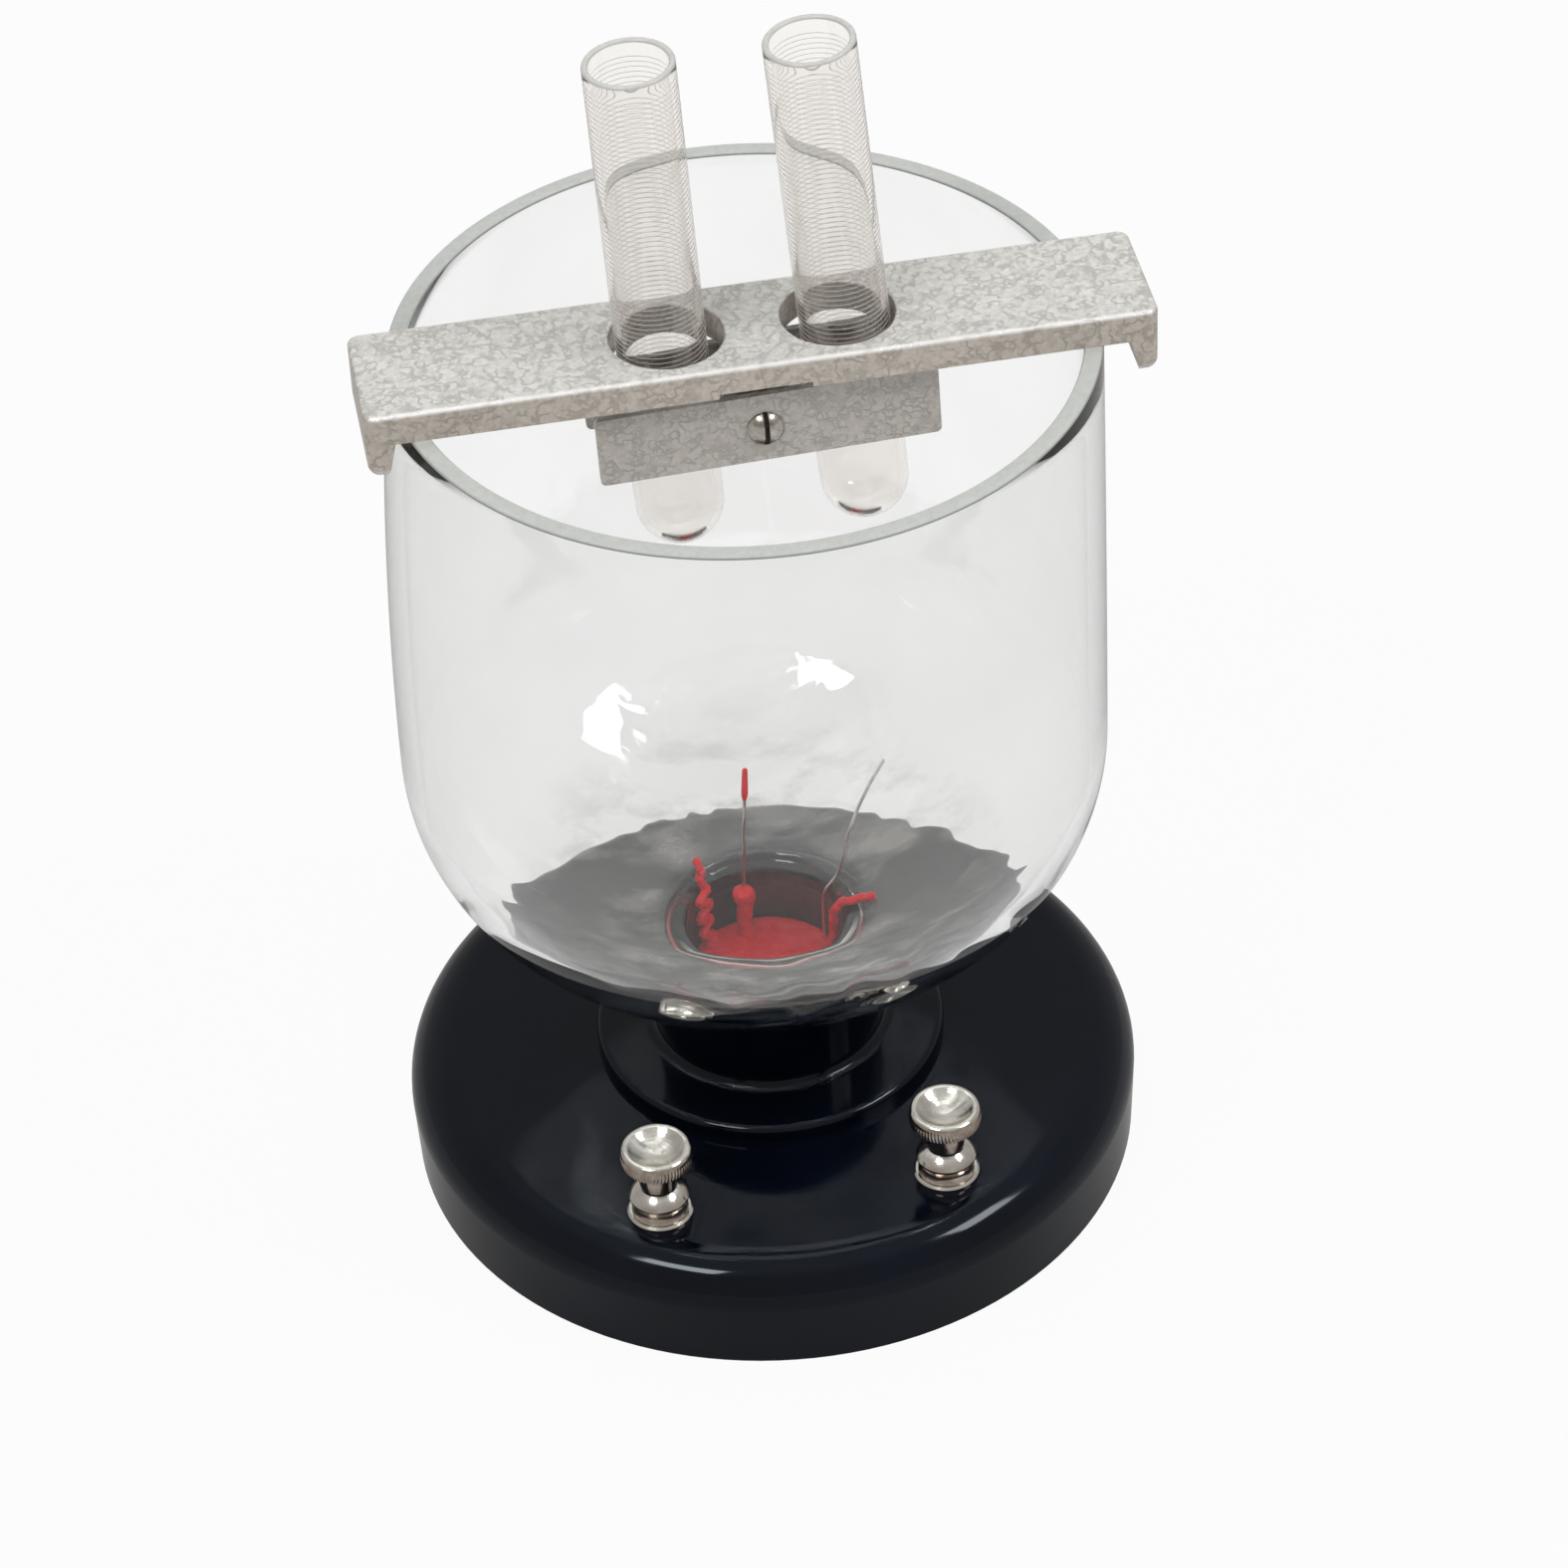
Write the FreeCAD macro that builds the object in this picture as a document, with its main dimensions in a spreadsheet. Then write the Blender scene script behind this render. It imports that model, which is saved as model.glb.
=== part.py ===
import FreeCAD, Part
import math
import os

import Sketcher

# Water electrolysis voltameter.
# A glass bowl stands by its neck in a round moulded base.
# Two wires come up through a wax seal in the neck, and two terminals feed them.
# A cast bar lies across the rim and clamps two graduated test tubes.
# Millimetres, +Z up, origin at the centre of the base's underside.
# +X runs along the bar and the line of the terminals, which stand at the front, at -Y.

V = FreeCAD.Vector

# Driving sizes
sizes = {
    # base moulding
    "base_radius": 66.0,
    "base_foot_draft": 0.5,
    "base_height": 20.6,
    "base_edge_round": 8.0,
    "base_wall": 3.0,
    "step_radius": 31.5,
    "step_height": 2.9,
    "collar_radius": 20.5,
    "collar_foot_round": 2.0,
    "step_edge_round": 1.2,
    "collar_edge_round": 1.0,
    "shelf_rise": 5.4,
    "shelf_thick": 3.0,
    "hub_skirt": 2.6,
    "skirt_ledge": 1.0,
    "rib_thick": 2.0,
    "rib_depth": 8.0,
    # glass bowl
    "neck_radius": 17.0,
    "neck_length": 19.3,
    "bowl_radius": 61.4,
    "bowl_dish": 46.9,
    "shoulder_round": 36.0,
    "bowl_height": 145.5,
    "rim_radius": 59.1,
    "rim_shift": 2.0,
    "glass_wall": 3.2,
    "rim_round": 0.5,
    "neck_root_round": 2.5,
    "neck_lip_round": 3.0,
    # seat of the bowl in the collar
    "cement_thick": 1.5,
    "cement_height": 15.0,
    "bed_gap": 0.05,
    "collar_drop": 0.6,
    # bung, wax and electrodes
    "bung_height": 7.0,
    "bung_taper": 0.3,
    "wax_thick": 2.0,
    "wax_dish_round": 140.0,
    "wax_stub_radius": 1.5,
    "wax_stub_height": 8.5,
    "wax_run_radius": 0.75,
    "wax_tip_radius": 0.65,
    "wax_tip_length": 7.0,
    "wire_radius": 0.3,
    "wire_gap": 0.05,
    "wire_bend": 4.0,
    "left_wire_across": -2.0,
    "left_wire_back": 10.9,
    "left_wire_upright": 9.5,
    "left_wire_rise": 37.0,
    "left_wire_drift": 1.5,
    "right_wire_across": 11.6,
    "right_wire_back": 5.2,
    "wire_tail": 1.0,
    # terminals
    "left_terminal_across": 27.5,
    "left_terminal_setback": 22.2,
    "right_terminal_across": 23.4,
    "right_terminal_setback": 21.0,
    "stud_radius": 2.0,
    "stud_gap": 0.05,
    "washer_radius": 5.8,
    "washer_thick": 0.8,
    "flange_radius": 5.3,
    "waist_radius": 4.5,
    "flange_height": 5.4,
    "knob_gap": 0.3,
    "knob_neck_radius": 3.3,
    "knob_neck_height": 5.1,
    "knob_radius": 6.4,
    "knob_head": 3.6,
    "knob_dish_radius": 5.0,
    "knob_dish_depth": 1.5,
    "knurl_depth": 0.3,
    "knurl_count": 44,
    "knob_bore_depth": 5.5,
    "nut_flats": 7.0,
    "nut_thick": 3.2,
    "tag_thick": 0.6,
    "tag_radius": 3.5,
    "tag_length": 9.5,
    "tag_width": 2.6,
    "stud_past_nut": 1.2,
    "stud_end_room": 0.5,
    "knob_corner_round": 0.9,
    # leads under the base
    "lead_radius": 0.8,
    "lead_bend": 5.0,
    "lead_end_room": 1.5,
    "lead_gap": 0.05,
    # tube holder
    "bar_width": 24.5,
    "bar_thick": 5.5,
    "bar_back": 3.5,
    "hook_root": 4.7,
    "hook_tip": 3.2,
    "hook_drop": 6.5,
    "hook_corner_round": 2.0,
    "bar_corner_round": 2.0,
    "bar_edge_round": 0.8,
    "hole_edge_round": 0.4,
    "lug_corner_round": 2.0,
    "hook_play": 3.2,
    "hook_gap": 0.6,
    "hole_spacing": 28.4,
    "hole_play": 2.0,
    "lug_width": 9.0,
    "lug_drop": 15.5,
    "lug_relief": 1.3,
    "relief_width": 15.5,
    "relief_depth": 0.9,
    "relief_back": 5.0,
    # clamp
    "plate_length": 57.0,
    "plate_shift": 0.7,
    "plate_height": 13.0,
    "plate_thick": 1.2,
    "plate_corner_round": 1.0,
    "grip_gap": 0.3,
    "screw_drop": 9.2,
    "front_plate_tilt": 1.6,
    "back_plate_tilt": 2.6,
    "screw_radius": 1.5,
    "screw_gap": 0.05,
    "head_radius": 3.1,
    "head_height": 2.2,
    "head_rim": 0.5,
    "slot_width": 0.8,
    "slot_depth": 1.1,
    "clamp_nut_flats": 5.5,
    "clamp_nut_thick": 2.4,
    "screw_past_nut": 1.6,
    # test tubes
    "tube_radius": 7.5,
    "tube_wall": 1.1,
    "tube_length": 93.5,
    "tube_reach": 40.8,
    "tube_shift": 1.0,
    "left_tube_lean": 2.4,
    "right_tube_lean": 4.1,
}


class Size:
    """A number together with the sheet formula that gives it."""

    def __init__(self, number, formula):
        self.number = number
        self.formula = formula

    def join(self, other, sign, number):
        return Size(number, "(%s %s %s)" % (self.formula, sign, formula_of(other)))

    def __add__(self, other):
        return self.join(other, "+", self.number + number_of(other))

    def __sub__(self, other):
        return self.join(other, "-", self.number - number_of(other))

    def __mul__(self, other):
        return self.join(other, "*", self.number * number_of(other))

    def __truediv__(self, other):
        return self.join(other, "/", self.number / number_of(other))

    def __neg__(self):
        return Size(-self.number, "(0 - %s)" % self.formula)


def number_of(value):
    return value.number if isinstance(value, Size) else float(value)


def formula_of(value):
    return value.formula if isinstance(value, Size) else repr(float(value))


def root(size):
    return Size(math.sqrt(size.number), "sqrt(%s)" % size.formula)


def tangent(degrees):
    formula = "tan(%s * 1 deg)" % degrees.formula
    return Size(math.tan(math.radians(degrees.number)), formula)


# Document and spreadsheet
doc = FreeCAD.newDocument("voltameter")
sheet = doc.addObject("Spreadsheet::Sheet", "sizes")
for row, (alias, number) in enumerate(sizes.items(), start=1):
    sheet.set("A%d" % row, alias)
    sheet.set("B%d" % row, str(number))
    sheet.setAlias("B%d" % row, alias)
doc.recompute()


def size(alias):
    return Size(float(sheet.get(alias)), "<<sizes>>.%s" % alias)


d = {alias: size(alias) for alias in sizes}


# Helpers for bodies, sketches and features
def tie(thing, prop, value):
    """Sets a property, and binds it to the sheet where the value comes from there."""
    if isinstance(value, Size):
        thing.setExpression(prop, value.formula)
    else:
        setattr(thing, prop, value)


def place(thing, x=0.0, y=0.0, z=0.0, axis=(0, 0, 1), angle=0.0):
    spot = V(number_of(x), number_of(y), number_of(z))
    thing.Placement = FreeCAD.Placement(spot, FreeCAD.Rotation(V(*axis), number_of(angle)))
    for letter, value in (("x", x), ("y", y), ("z", z)):
        if isinstance(value, Size):
            thing.setExpression("Placement.Base." + letter, value.formula)


def new_body(name):
    body = doc.addObject("PartDesign::Body", name)
    body.Label = name
    return body


def plane_of(body, role):
    return [item for item in body.Origin.OriginFeatures if item.Role == role][0]


def new_sketch(body, name, role="XZ_Plane", lift=0.0, turn=0.0):
    """A sketch on one of the body's own planes, lifted off it and turned about its Y."""
    sketch = body.newObject("Sketcher::SketchObject", name)
    sketch.AttachmentSupport = [(plane_of(body, role), "")]
    sketch.MapMode = "FlatFace"
    shift = FreeCAD.Placement(V(0, 0, number_of(lift)), FreeCAD.Rotation(V(0, 1, 0), turn))
    sketch.AttachmentOffset = shift
    if isinstance(lift, Size):
        sketch.setExpression("AttachmentOffset.Base.z", lift.formula)
    return sketch


def hold(sketch, kind, *places):
    """Adds one constraint, whose last entry is a Size or a number, and binds it."""
    value = places[-1]
    index = sketch.addConstraint(Sketcher.Constraint(kind, *places[:-1], number_of(value)))
    if isinstance(value, Size):
        sketch.setExpression("Constraints[%d]" % index, value.formula)


def pin(sketch, geometry, end, x, y):
    """Fixes one end of a line, an arc or a circle's centre at x, y."""
    for kind, value, axis in (("DistanceX", x, -2), ("DistanceY", y, -1)):
        if isinstance(value, Size) or abs(value) > 1e-9:
            hold(sketch, kind, -1, 1, geometry, end, value)
        else:
            sketch.addConstraint(Sketcher.Constraint("PointOnObject", geometry, end, axis))


def arc_through(start, finish, radius, side):
    """The short arc of a radius between two points, its centre left (+1) or right (-1)."""
    chord = finish - start
    rise = math.sqrt(max(radius ** 2 - (chord.Length / 2) ** 2, 0.0))
    across = V(-chord.y, chord.x, 0).normalize()
    centre = (start + finish) * 0.5 + across * rise * side
    first, last = (start, finish) if side > 0 else (finish, start)
    angles = [math.atan2(p.y - centre.y, p.x - centre.x) for p in (first, last)]
    return Part.ArcOfCircle(Part.Circle(centre, V(0, 0, 1), radius), angles[0], angles[1])


def outline(sketch, corners, closed=True):
    """Draws runs between corners. A corner is (x, y), or (x, y, radius, side) where the
    run that arrives there is an arc with its centre left (+1) or right (-1) of the way.
    A closed outline's last run arrives at its first corner."""
    runs = []
    count = len(corners)
    for index in range(count if closed else count - 1):
        here = corners[index]
        there = corners[(index + 1) % count]
        start = V(number_of(here[0]), number_of(here[1]), 0)
        finish = V(number_of(there[0]), number_of(there[1]), 0)
        if len(there) == 4:
            arc = arc_through(start, finish, number_of(there[2]), there[3])
            geometry = sketch.addGeometry(arc, False)
            ends = (1, 2) if there[3] > 0 else (2, 1)
            hold(sketch, "Radius", geometry, there[2])
        else:
            geometry = sketch.addGeometry(Part.LineSegment(start, finish), False)
            ends = (1, 2)
        pin(sketch, geometry, ends[0], here[0], here[1])
        runs.append((geometry, ends))
    for index in range(len(runs) if closed else len(runs) - 1):
        geometry, ends = runs[index]
        following, next_ends = runs[(index + 1) % len(runs)]
        joint = Sketcher.Constraint("Coincident", geometry, ends[1], following, next_ends[0])
        sketch.addConstraint(joint)
    if not closed:
        geometry, ends = runs[-1]
        pin(sketch, geometry, ends[1], corners[-1][0], corners[-1][1])


def ring(sketch, radius, x=0.0, y=0.0):
    centre = V(number_of(x), number_of(y), 0)
    geometry = sketch.addGeometry(Part.Circle(centre, V(0, 0, 1), number_of(radius)), False)
    hold(sketch, "Radius", geometry, radius)
    pin(sketch, geometry, 3, x, y)


def revolve(body, name, corners):
    """Turns an (x, z) outline round the body's Z axis."""
    sketch = new_sketch(body, name + "_profile")
    outline(sketch, corners)
    turned = body.newObject("PartDesign::Revolution", name)
    turned.Profile = sketch
    turned.ReferenceAxis = (sketch, ["V_Axis"])
    turned.Angle = 360.0
    body.Tip = turned
    return turned


def pad(body, name, sketch, length, midplane=False, reverse=False):
    feature = body.newObject("PartDesign::Pad", name)
    feature.Profile = sketch
    tie(feature, "Length", length)
    feature.Midplane = midplane
    feature.Reversed = reverse
    body.Tip = feature
    return feature


def cut(body, name, sketch, length=None, midplane=False, reverse=False):
    """Pockets a sketch, and checks that it took something away."""
    doc.recompute()
    before = body.Shape.Volume
    feature = body.newObject("PartDesign::Pocket", name)
    feature.Profile = sketch
    feature.Midplane = midplane
    feature.Reversed = reverse
    if length is None:
        feature.Type = "ThroughAll"
    else:
        tie(feature, "Length", length)
    body.Tip = feature
    doc.recompute()
    if body.Shape.Volume > before - 1e-6:
        raise RuntimeError("%s cuts nothing" % name)
    return feature


def round_edges(body, name, radius, wanted):
    """Fillets the edges of the body that wanted() picks."""
    doc.recompute()
    base = body.Tip
    picked = ["Edge%d" % (i + 1) for i, edge in enumerate(base.Shape.Edges)
              if not edge.Degenerated and wanted(edge)]
    if not picked:
        raise RuntimeError("%s found no edge" % name)
    feature = body.newObject("PartDesign::Fillet", name)
    feature.Base = (base, picked)
    tie(feature, "Radius", radius)
    body.Tip = feature
    doc.recompute()
    return feature


def circle_at(radius, z):
    """A test for whole circles of one radius about the Z axis at one height."""
    def wanted(edge):
        curve = edge.Curve
        if not isinstance(curve, Part.Circle):
            return False
        return (abs(curve.Radius - number_of(radius)) < 0.02
                and abs(curve.Center.z - number_of(z)) < 0.02)
    return wanted


def copies_round(body, name, feature, count):
    pattern = body.newObject("PartDesign::PolarPattern", name)
    pattern.Originals = [feature]
    pattern.Axis = (plane_of(body, "Z_Axis"), [""])
    pattern.Angle = 360.0
    tie(pattern, "Occurrences", count)
    body.Tip = pattern
    return pattern


def sweep(body, name, runs, bends, radius):
    """A round wire along straight runs in the XZ plane, with an arc at each inner corner."""
    path = new_sketch(body, name + "_path")
    corners = [runs[0]]
    for index in range(1, len(runs) - 1):
        way_in = unit_from(runs[index], runs[index - 1])
        way_out = unit_from(runs[index], runs[index + 1])
        cosine = way_in[0] * way_out[0] + way_in[1] * way_out[1]
        # the arc leaves each run this far from the corner
        setback = bends[index - 1] * root((cosine + 1.0) / (-cosine + 1.0))
        side = 1 if number_of(way_in[0] * way_out[1] - way_in[1] * way_out[0]) < 0 else -1
        x, y = runs[index]
        corners.append((way_in[0] * setback + x, way_in[1] * setback + y))
        corners.append((way_out[0] * setback + x, way_out[1] * setback + y, bends[index - 1], side))
    corners.append(runs[-1])
    outline(path, corners, closed=False)
    section = new_sketch(body, name + "_section", "XY_Plane", lift=runs[0][1])
    ring(section, radius, x=runs[0][0])
    pipe = body.newObject("PartDesign::AdditivePipe", name)
    pipe.Profile = section
    pipe.Spine = path
    body.Tip = pipe
    return pipe


def unit_from(corner, towards):
    """The unit direction from one corner to another, as two sizes."""
    across = towards[0] - corner[0]
    up = towards[1] - corner[1]
    reach = root(across * across + up * up)
    return across / reach, up / reach


# How far a cut starts before the face that it opens
cut_room = 1.0

# Levels and places that several pieces share
shelf_level = d["base_height"] + d["shelf_rise"]
rim_level = shelf_level + d["bowl_height"]
collar_bore = d["neck_radius"] + d["cement_thick"]
collar_top = shelf_level + d["neck_length"] - d["collar_drop"]
neck_bore = d["neck_radius"] - d["glass_wall"]
bung_top = shelf_level + d["bung_height"]
wax_level = bung_top + d["wax_thick"]
shelf_under = shelf_level - d["shelf_thick"]
tail_level = shelf_under - d["wire_gap"] - d["wire_tail"]
plate_under = d["base_height"] - d["base_wall"]
stud_bore = d["stud_radius"] + d["stud_gap"]
collar_level = d["base_height"] + d["washer_thick"]
bar_x = d["rim_shift"] + d["hook_play"] / 2 - d["hook_gap"]
bar_y = -d["bar_back"]
screw_level = rim_level - d["screw_drop"]
grip_half = d["tube_radius"] + d["grip_gap"]
clamp_face = grip_half + d["plate_thick"]
screw_bore = d["screw_radius"] + d["screw_gap"]
wire_bore = d["wire_radius"] + d["wire_gap"]
wires = {
    "left": (d["left_wire_across"], d["left_wire_back"]),
    "right": (d["right_wire_across"], d["right_wire_back"]),
}
# Each terminal stands a set distance behind the front of the base's edge
terminals = {
    "left": (-d["left_terminal_across"], d["left_terminal_setback"] - d["base_radius"]),
    "right": (d["right_terminal_across"], d["right_terminal_setback"] - d["base_radius"]),
}


def make_base():
    body = new_body("base")
    foot = d["base_radius"] - d["base_foot_draft"]
    inner = foot - d["base_wall"]
    top = d["base_height"]
    step_top = top + d["step_height"]
    step_under = step_top - d["base_wall"]
    step_inner = d["step_radius"] - d["base_wall"]
    skirt_foot = plate_under - d["hub_skirt"]
    revolve(body, "shell", [
        (inner, 0.0),
        (foot, 0.0),
        (d["base_radius"], top - d["base_edge_round"]),
        (d["base_radius"] - d["base_edge_round"], top, d["base_edge_round"], 1),
        (d["step_radius"], top),
        (d["step_radius"], step_top),
        (d["collar_radius"], step_top),
        (d["collar_radius"], collar_top),
        (collar_bore, collar_top),
        (collar_bore, shelf_level),
        (0.0, shelf_level),
        (0.0, shelf_under),
        (collar_bore - d["skirt_ledge"], shelf_under),
        (collar_bore - d["skirt_ledge"], skirt_foot),
        (d["collar_radius"], skirt_foot),
        (d["collar_radius"], step_under),
        (step_inner, step_under),
        (step_inner, plate_under),
        (inner, plate_under),
    ])
    round_edges(body, "collar_foot", d["collar_foot_round"],
                circle_at(d["collar_radius"], step_top))
    round_edges(body, "step_edge", d["step_edge_round"], circle_at(d["step_radius"], step_top))
    round_edges(body, "collar_edge", d["collar_edge_round"],
                circle_at(d["collar_radius"], collar_top))
    # stiffening ribs under the top, from the hub's skirt to the outer wall, their top outer
    # corner kept inside the rounded edge
    rib = new_sketch(body, "rib_profile", "XZ_Plane", turn=30.0)
    edge_round = d["base_edge_round"]
    rib_start = collar_bore + d["base_wall"] / 4
    rib_foot = plate_under - d["rib_depth"]
    rib_top = plate_under + d["base_wall"] / 6
    rib_rise = rib_top - top + edge_round
    round_reach = root(edge_round * edge_round - rib_rise * rib_rise)
    rib_end = d["base_radius"] - edge_round + round_reach - d["base_wall"] / 5
    outline(rib, [(rib_start, skirt_foot), (rib_end, rib_foot), (rib_end, rib_top),
                  (rib_start, rib_top)])
    rib_pad = pad(body, "rib", rib, d["rib_thick"], midplane=True)
    copies_round(body, "ribs", rib_pad, 6)
    doc.recompute()
    # holes for the two studs and the two wires
    studs = new_sketch(body, "stud_holes", "XY_Plane", lift=plate_under - cut_room)
    for across, forward in terminals.values():
        ring(studs, stud_bore, across, forward)
    cut(body, "stud_hole_cut", studs, d["base_wall"] + cut_room * 2.0, reverse=True)
    passages = new_sketch(body, "wire_holes", "XY_Plane", lift=shelf_under - cut_room)
    for across, back in wires.values():
        ring(passages, wire_bore, across, back)
    cut(body, "wire_hole_cut", passages, d["shelf_thick"] + cut_room * 2.0, reverse=True)
    return body


def make_bowl():
    """A turned dish and neck, and a wall that draws in and leans as it rises to the rim."""
    body = new_body("glass_bowl")
    side = d["bowl_radius"] - d["shoulder_round"]
    # the bottom's arc is tangent to the shoulder's and passes the dish's full depth
    dish_round = ((side * side + d["bowl_dish"] * d["bowl_dish"]
                   - d["shoulder_round"] * d["shoulder_round"])
                  / ((d["bowl_dish"] - d["shoulder_round"]) * 2.0))
    dish_centre = d["neck_length"] + root(dish_round * dish_round
                                          - d["neck_radius"] * d["neck_radius"])
    widest = dish_centre - dish_round + d["bowl_dish"]
    draw_in = d["bowl_radius"] - d["rim_radius"]
    wall_rise = d["bowl_height"] - widest
    blend = side / (dish_round - d["shoulder_round"])
    drop = (widest - dish_centre) / (dish_round - d["shoulder_round"])
    wall = d["glass_wall"]
    inner_dish = dish_round - wall
    lip = dish_centre - root(inner_dish * inner_dish - neck_bore * neck_bore)
    revolve(body, "dish", [
        (neck_bore, 0.0),
        (d["neck_radius"], 0.0),
        (d["neck_radius"], d["neck_length"]),
        (dish_round * blend, dish_centre + dish_round * drop, dish_round, 1),
        (d["bowl_radius"], widest, d["shoulder_round"], 1),
        (d["bowl_radius"] - wall, widest),
        (inner_dish * blend, dish_centre + inner_dish * drop, d["shoulder_round"] - wall, -1),
        (neck_bore, lip, inner_dish, -1),
    ])
    sections = []
    for name, share in (("widest", 0.0), ("middle", 0.5), ("rim", 1.0)):
        # radius and place change with the square of the height, so the wall starts upright
        section = new_sketch(body, name, "XY_Plane", lift=widest + wall_rise * share)
        outside = d["bowl_radius"] - draw_in * share ** 2
        shift = d["rim_shift"] * share ** 2
        ring(section, outside, x=shift)
        ring(section, outside - wall, x=shift)
        sections.append(section)
    loft = body.newObject("PartDesign::AdditiveLoft", "wall")
    loft.Profile = sections[0]
    loft.Sections = sections[1:]
    body.Tip = loft
    round_edges(body, "neck_root", d["neck_root_round"],
                circle_at(d["neck_radius"], d["neck_length"]))
    round_edges(body, "neck_lip", d["neck_lip_round"], circle_at(neck_bore, lip))
    round_edges(body, "rim_edges", d["rim_round"],
                lambda edge: is_level_at(edge, d["bowl_height"].number))
    place(body, z=shelf_level)
    return body


def make_cement():
    body = new_body("bowl_cement")
    inside = d["neck_radius"] + d["bed_gap"]
    outside = collar_bore - d["bed_gap"]
    revolve(body, "bed", [(inside, 0.0), (outside, 0.0), (outside, d["cement_height"]),
                          (inside, d["cement_height"])])
    place(body, z=shelf_level)
    return body


def make_bung():
    body = new_body("neck_stopper")
    top_radius = neck_bore - d["bed_gap"]
    foot_radius = top_radius - d["bung_taper"]
    revolve(body, "bung", [(0.0, 0.0), (foot_radius, 0.0), (top_radius, d["bung_height"]),
                           (0.0, d["bung_height"])])
    holes = new_sketch(body, "wire_bores", "XY_Plane")
    for across, back in wires.values():
        ring(holes, wire_bore, across, back)
    cut(body, "wire_bore_cut", holes, reverse=True)
    place(body, z=shelf_level)
    return body


def bead_between(start, finish, radius):
    """A round-ended stick from one point to another."""
    way = finish - start
    stick = Part.makeCylinder(radius, way.Length, start, way)
    return stick.fuse([Part.makeSphere(radius, start), Part.makeSphere(radius, finish)])


# Wax that ran up the neck's lip as it was poured, as points above the bung's top
wax_runs = [
    [(-9.2, 8.2, 1.5), (-9.85, 8.5, 7.5), (-9.8, 8.5, 12.5), (-9.6, 9.2, 14.4),
     (-9.5, 11.4, 15.9), (-9.7, 14.5, 16.7)],
    [(12.3, 2.2, 1.5), (12.9, 1.2, 6.5), (12.95, 0.2, 12.3), (13.4, -0.3, 14.4),
     (15.3, -1.2, 15.9), (19.6, -2.4, 17.2)],
]


def make_wax():
    """A poured disc with a raised edge, a stub round the left wire and two runs."""
    wax = doc.addObject("Part::Feature", "sealing_wax")
    wax.Label = "sealing_wax"
    thick = d["wax_thick"].number
    dish = d["wax_dish_round"].number
    stub = d["wax_stub_radius"].number
    solid = Part.makeCylinder(neck_bore.number - d["bed_gap"].number, thick)
    solid = solid.cut(Part.makeSphere(dish, V(0, 0, dish + thick * 0.7)))
    left_x, left_y = (value.number for value in wires["left"])
    solid = solid.fuse(Part.makeCone(stub, stub * 0.6, d["wax_stub_height"].number,
                                     V(left_x, left_y, thick / 2)))
    for points in wax_runs:
        for start, finish in zip(points, points[1:]):
            solid = solid.fuse(bead_between(V(*start), V(*finish), d["wax_run_radius"].number))
    for across, back in wires.values():
        foot = V(across.number, back.number, -thick)
        passage = thick * 3.0 + d["wax_stub_height"].number
        solid = solid.cut(Part.makeCylinder(wire_bore.number, passage, foot))
    wax.Shape = solid.removeSplitter()
    place(wax, z=bung_top)
    return wax


def make_left_electrode():
    """A wire that stands upright in the wax and then leans a little to the right."""
    body = new_body("left_electrode")
    foot = d["left_wire_across"]
    bend_level = wax_level + d["left_wire_upright"]
    end_level = wax_level + d["left_wire_rise"]
    sweep(body, "wire", [(foot, tail_level), (foot, bend_level),
                         (foot + d["left_wire_drift"], end_level)],
          [d["wire_bend"]], d["wire_radius"])
    place(body, y=d["left_wire_back"])
    return body


# The right wire, bent outwards by hand, as steps across and up from the wax
right_wire_steps = [(0.0, 11.0), (3.2, 15.5), (6.3, 28.0), (12.3, 40.0)]


def make_right_electrode():
    body = new_body("right_electrode")
    foot = d["right_wire_across"]
    route = [(foot, tail_level)]
    route += [(foot + across, wax_level + up) for across, up in right_wire_steps]
    sweep(body, "wire", route, [d["wire_bend"]] * (len(route) - 2), d["wire_radius"])
    place(body, y=d["right_wire_back"])
    return body


def make_wax_tip():
    """A drop of wax with a blind bore, which covers the end of the left wire."""
    body = new_body("wax_tip")
    outside = d["wax_tip_radius"]
    length = d["wax_tip_length"]
    revolve(body, "drop", [
        (wire_bore, 0.0),
        (wire_bore + 0.1, 0.0),
        (outside, length * 0.2),
        (outside * 0.8, length - outside * 0.8),
        (0.0, length, outside * 0.8, 1),
        (0.0, length - outside),
        (wire_bore, length - outside),
    ])
    rise = d["left_wire_rise"] - d["left_wire_upright"]
    lean = math.atan2(d["left_wire_drift"].number, rise.number)
    # how far down the wire the drop's open end sits
    cover = length - outside - d["wire_gap"]
    place(body, d["left_wire_across"] + d["left_wire_drift"] - cover * math.sin(lean),
          d["left_wire_back"],
          wax_level + d["left_wire_rise"] - cover * math.cos(lean),
          axis=(0, 1, 0), angle=math.degrees(lean))
    return body


def make_stud(side):
    body = new_body(side + "_terminal_stud")
    foot = d["nut_thick"] * 2.0 + d["tag_thick"] + d["stud_past_nut"]
    cover = d["base_wall"] + d["washer_thick"] + d["flange_height"] + d["knob_gap"]
    length = foot + cover + d["knob_bore_depth"] - d["stud_end_room"]
    radius = d["stud_radius"]
    bevel = radius / 5
    revolve(body, "rod", [(0.0, 0.0), (radius - bevel, 0.0), (radius, bevel),
                          (radius, length - bevel), (radius - bevel, length), (0.0, length)])
    place(body, *terminals[side], plate_under - foot)
    return body


def make_washer(side):
    body = new_body(side + "_terminal_washer")
    top = d["washer_thick"]
    bevel = top / 2
    revolve(body, "washer", [(stud_bore, 0.0), (d["washer_radius"], 0.0),
                             (d["washer_radius"], top - bevel),
                             (d["washer_radius"] - bevel, top), (stud_bore, top)])
    place(body, *terminals[side], d["base_height"])
    return body


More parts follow.
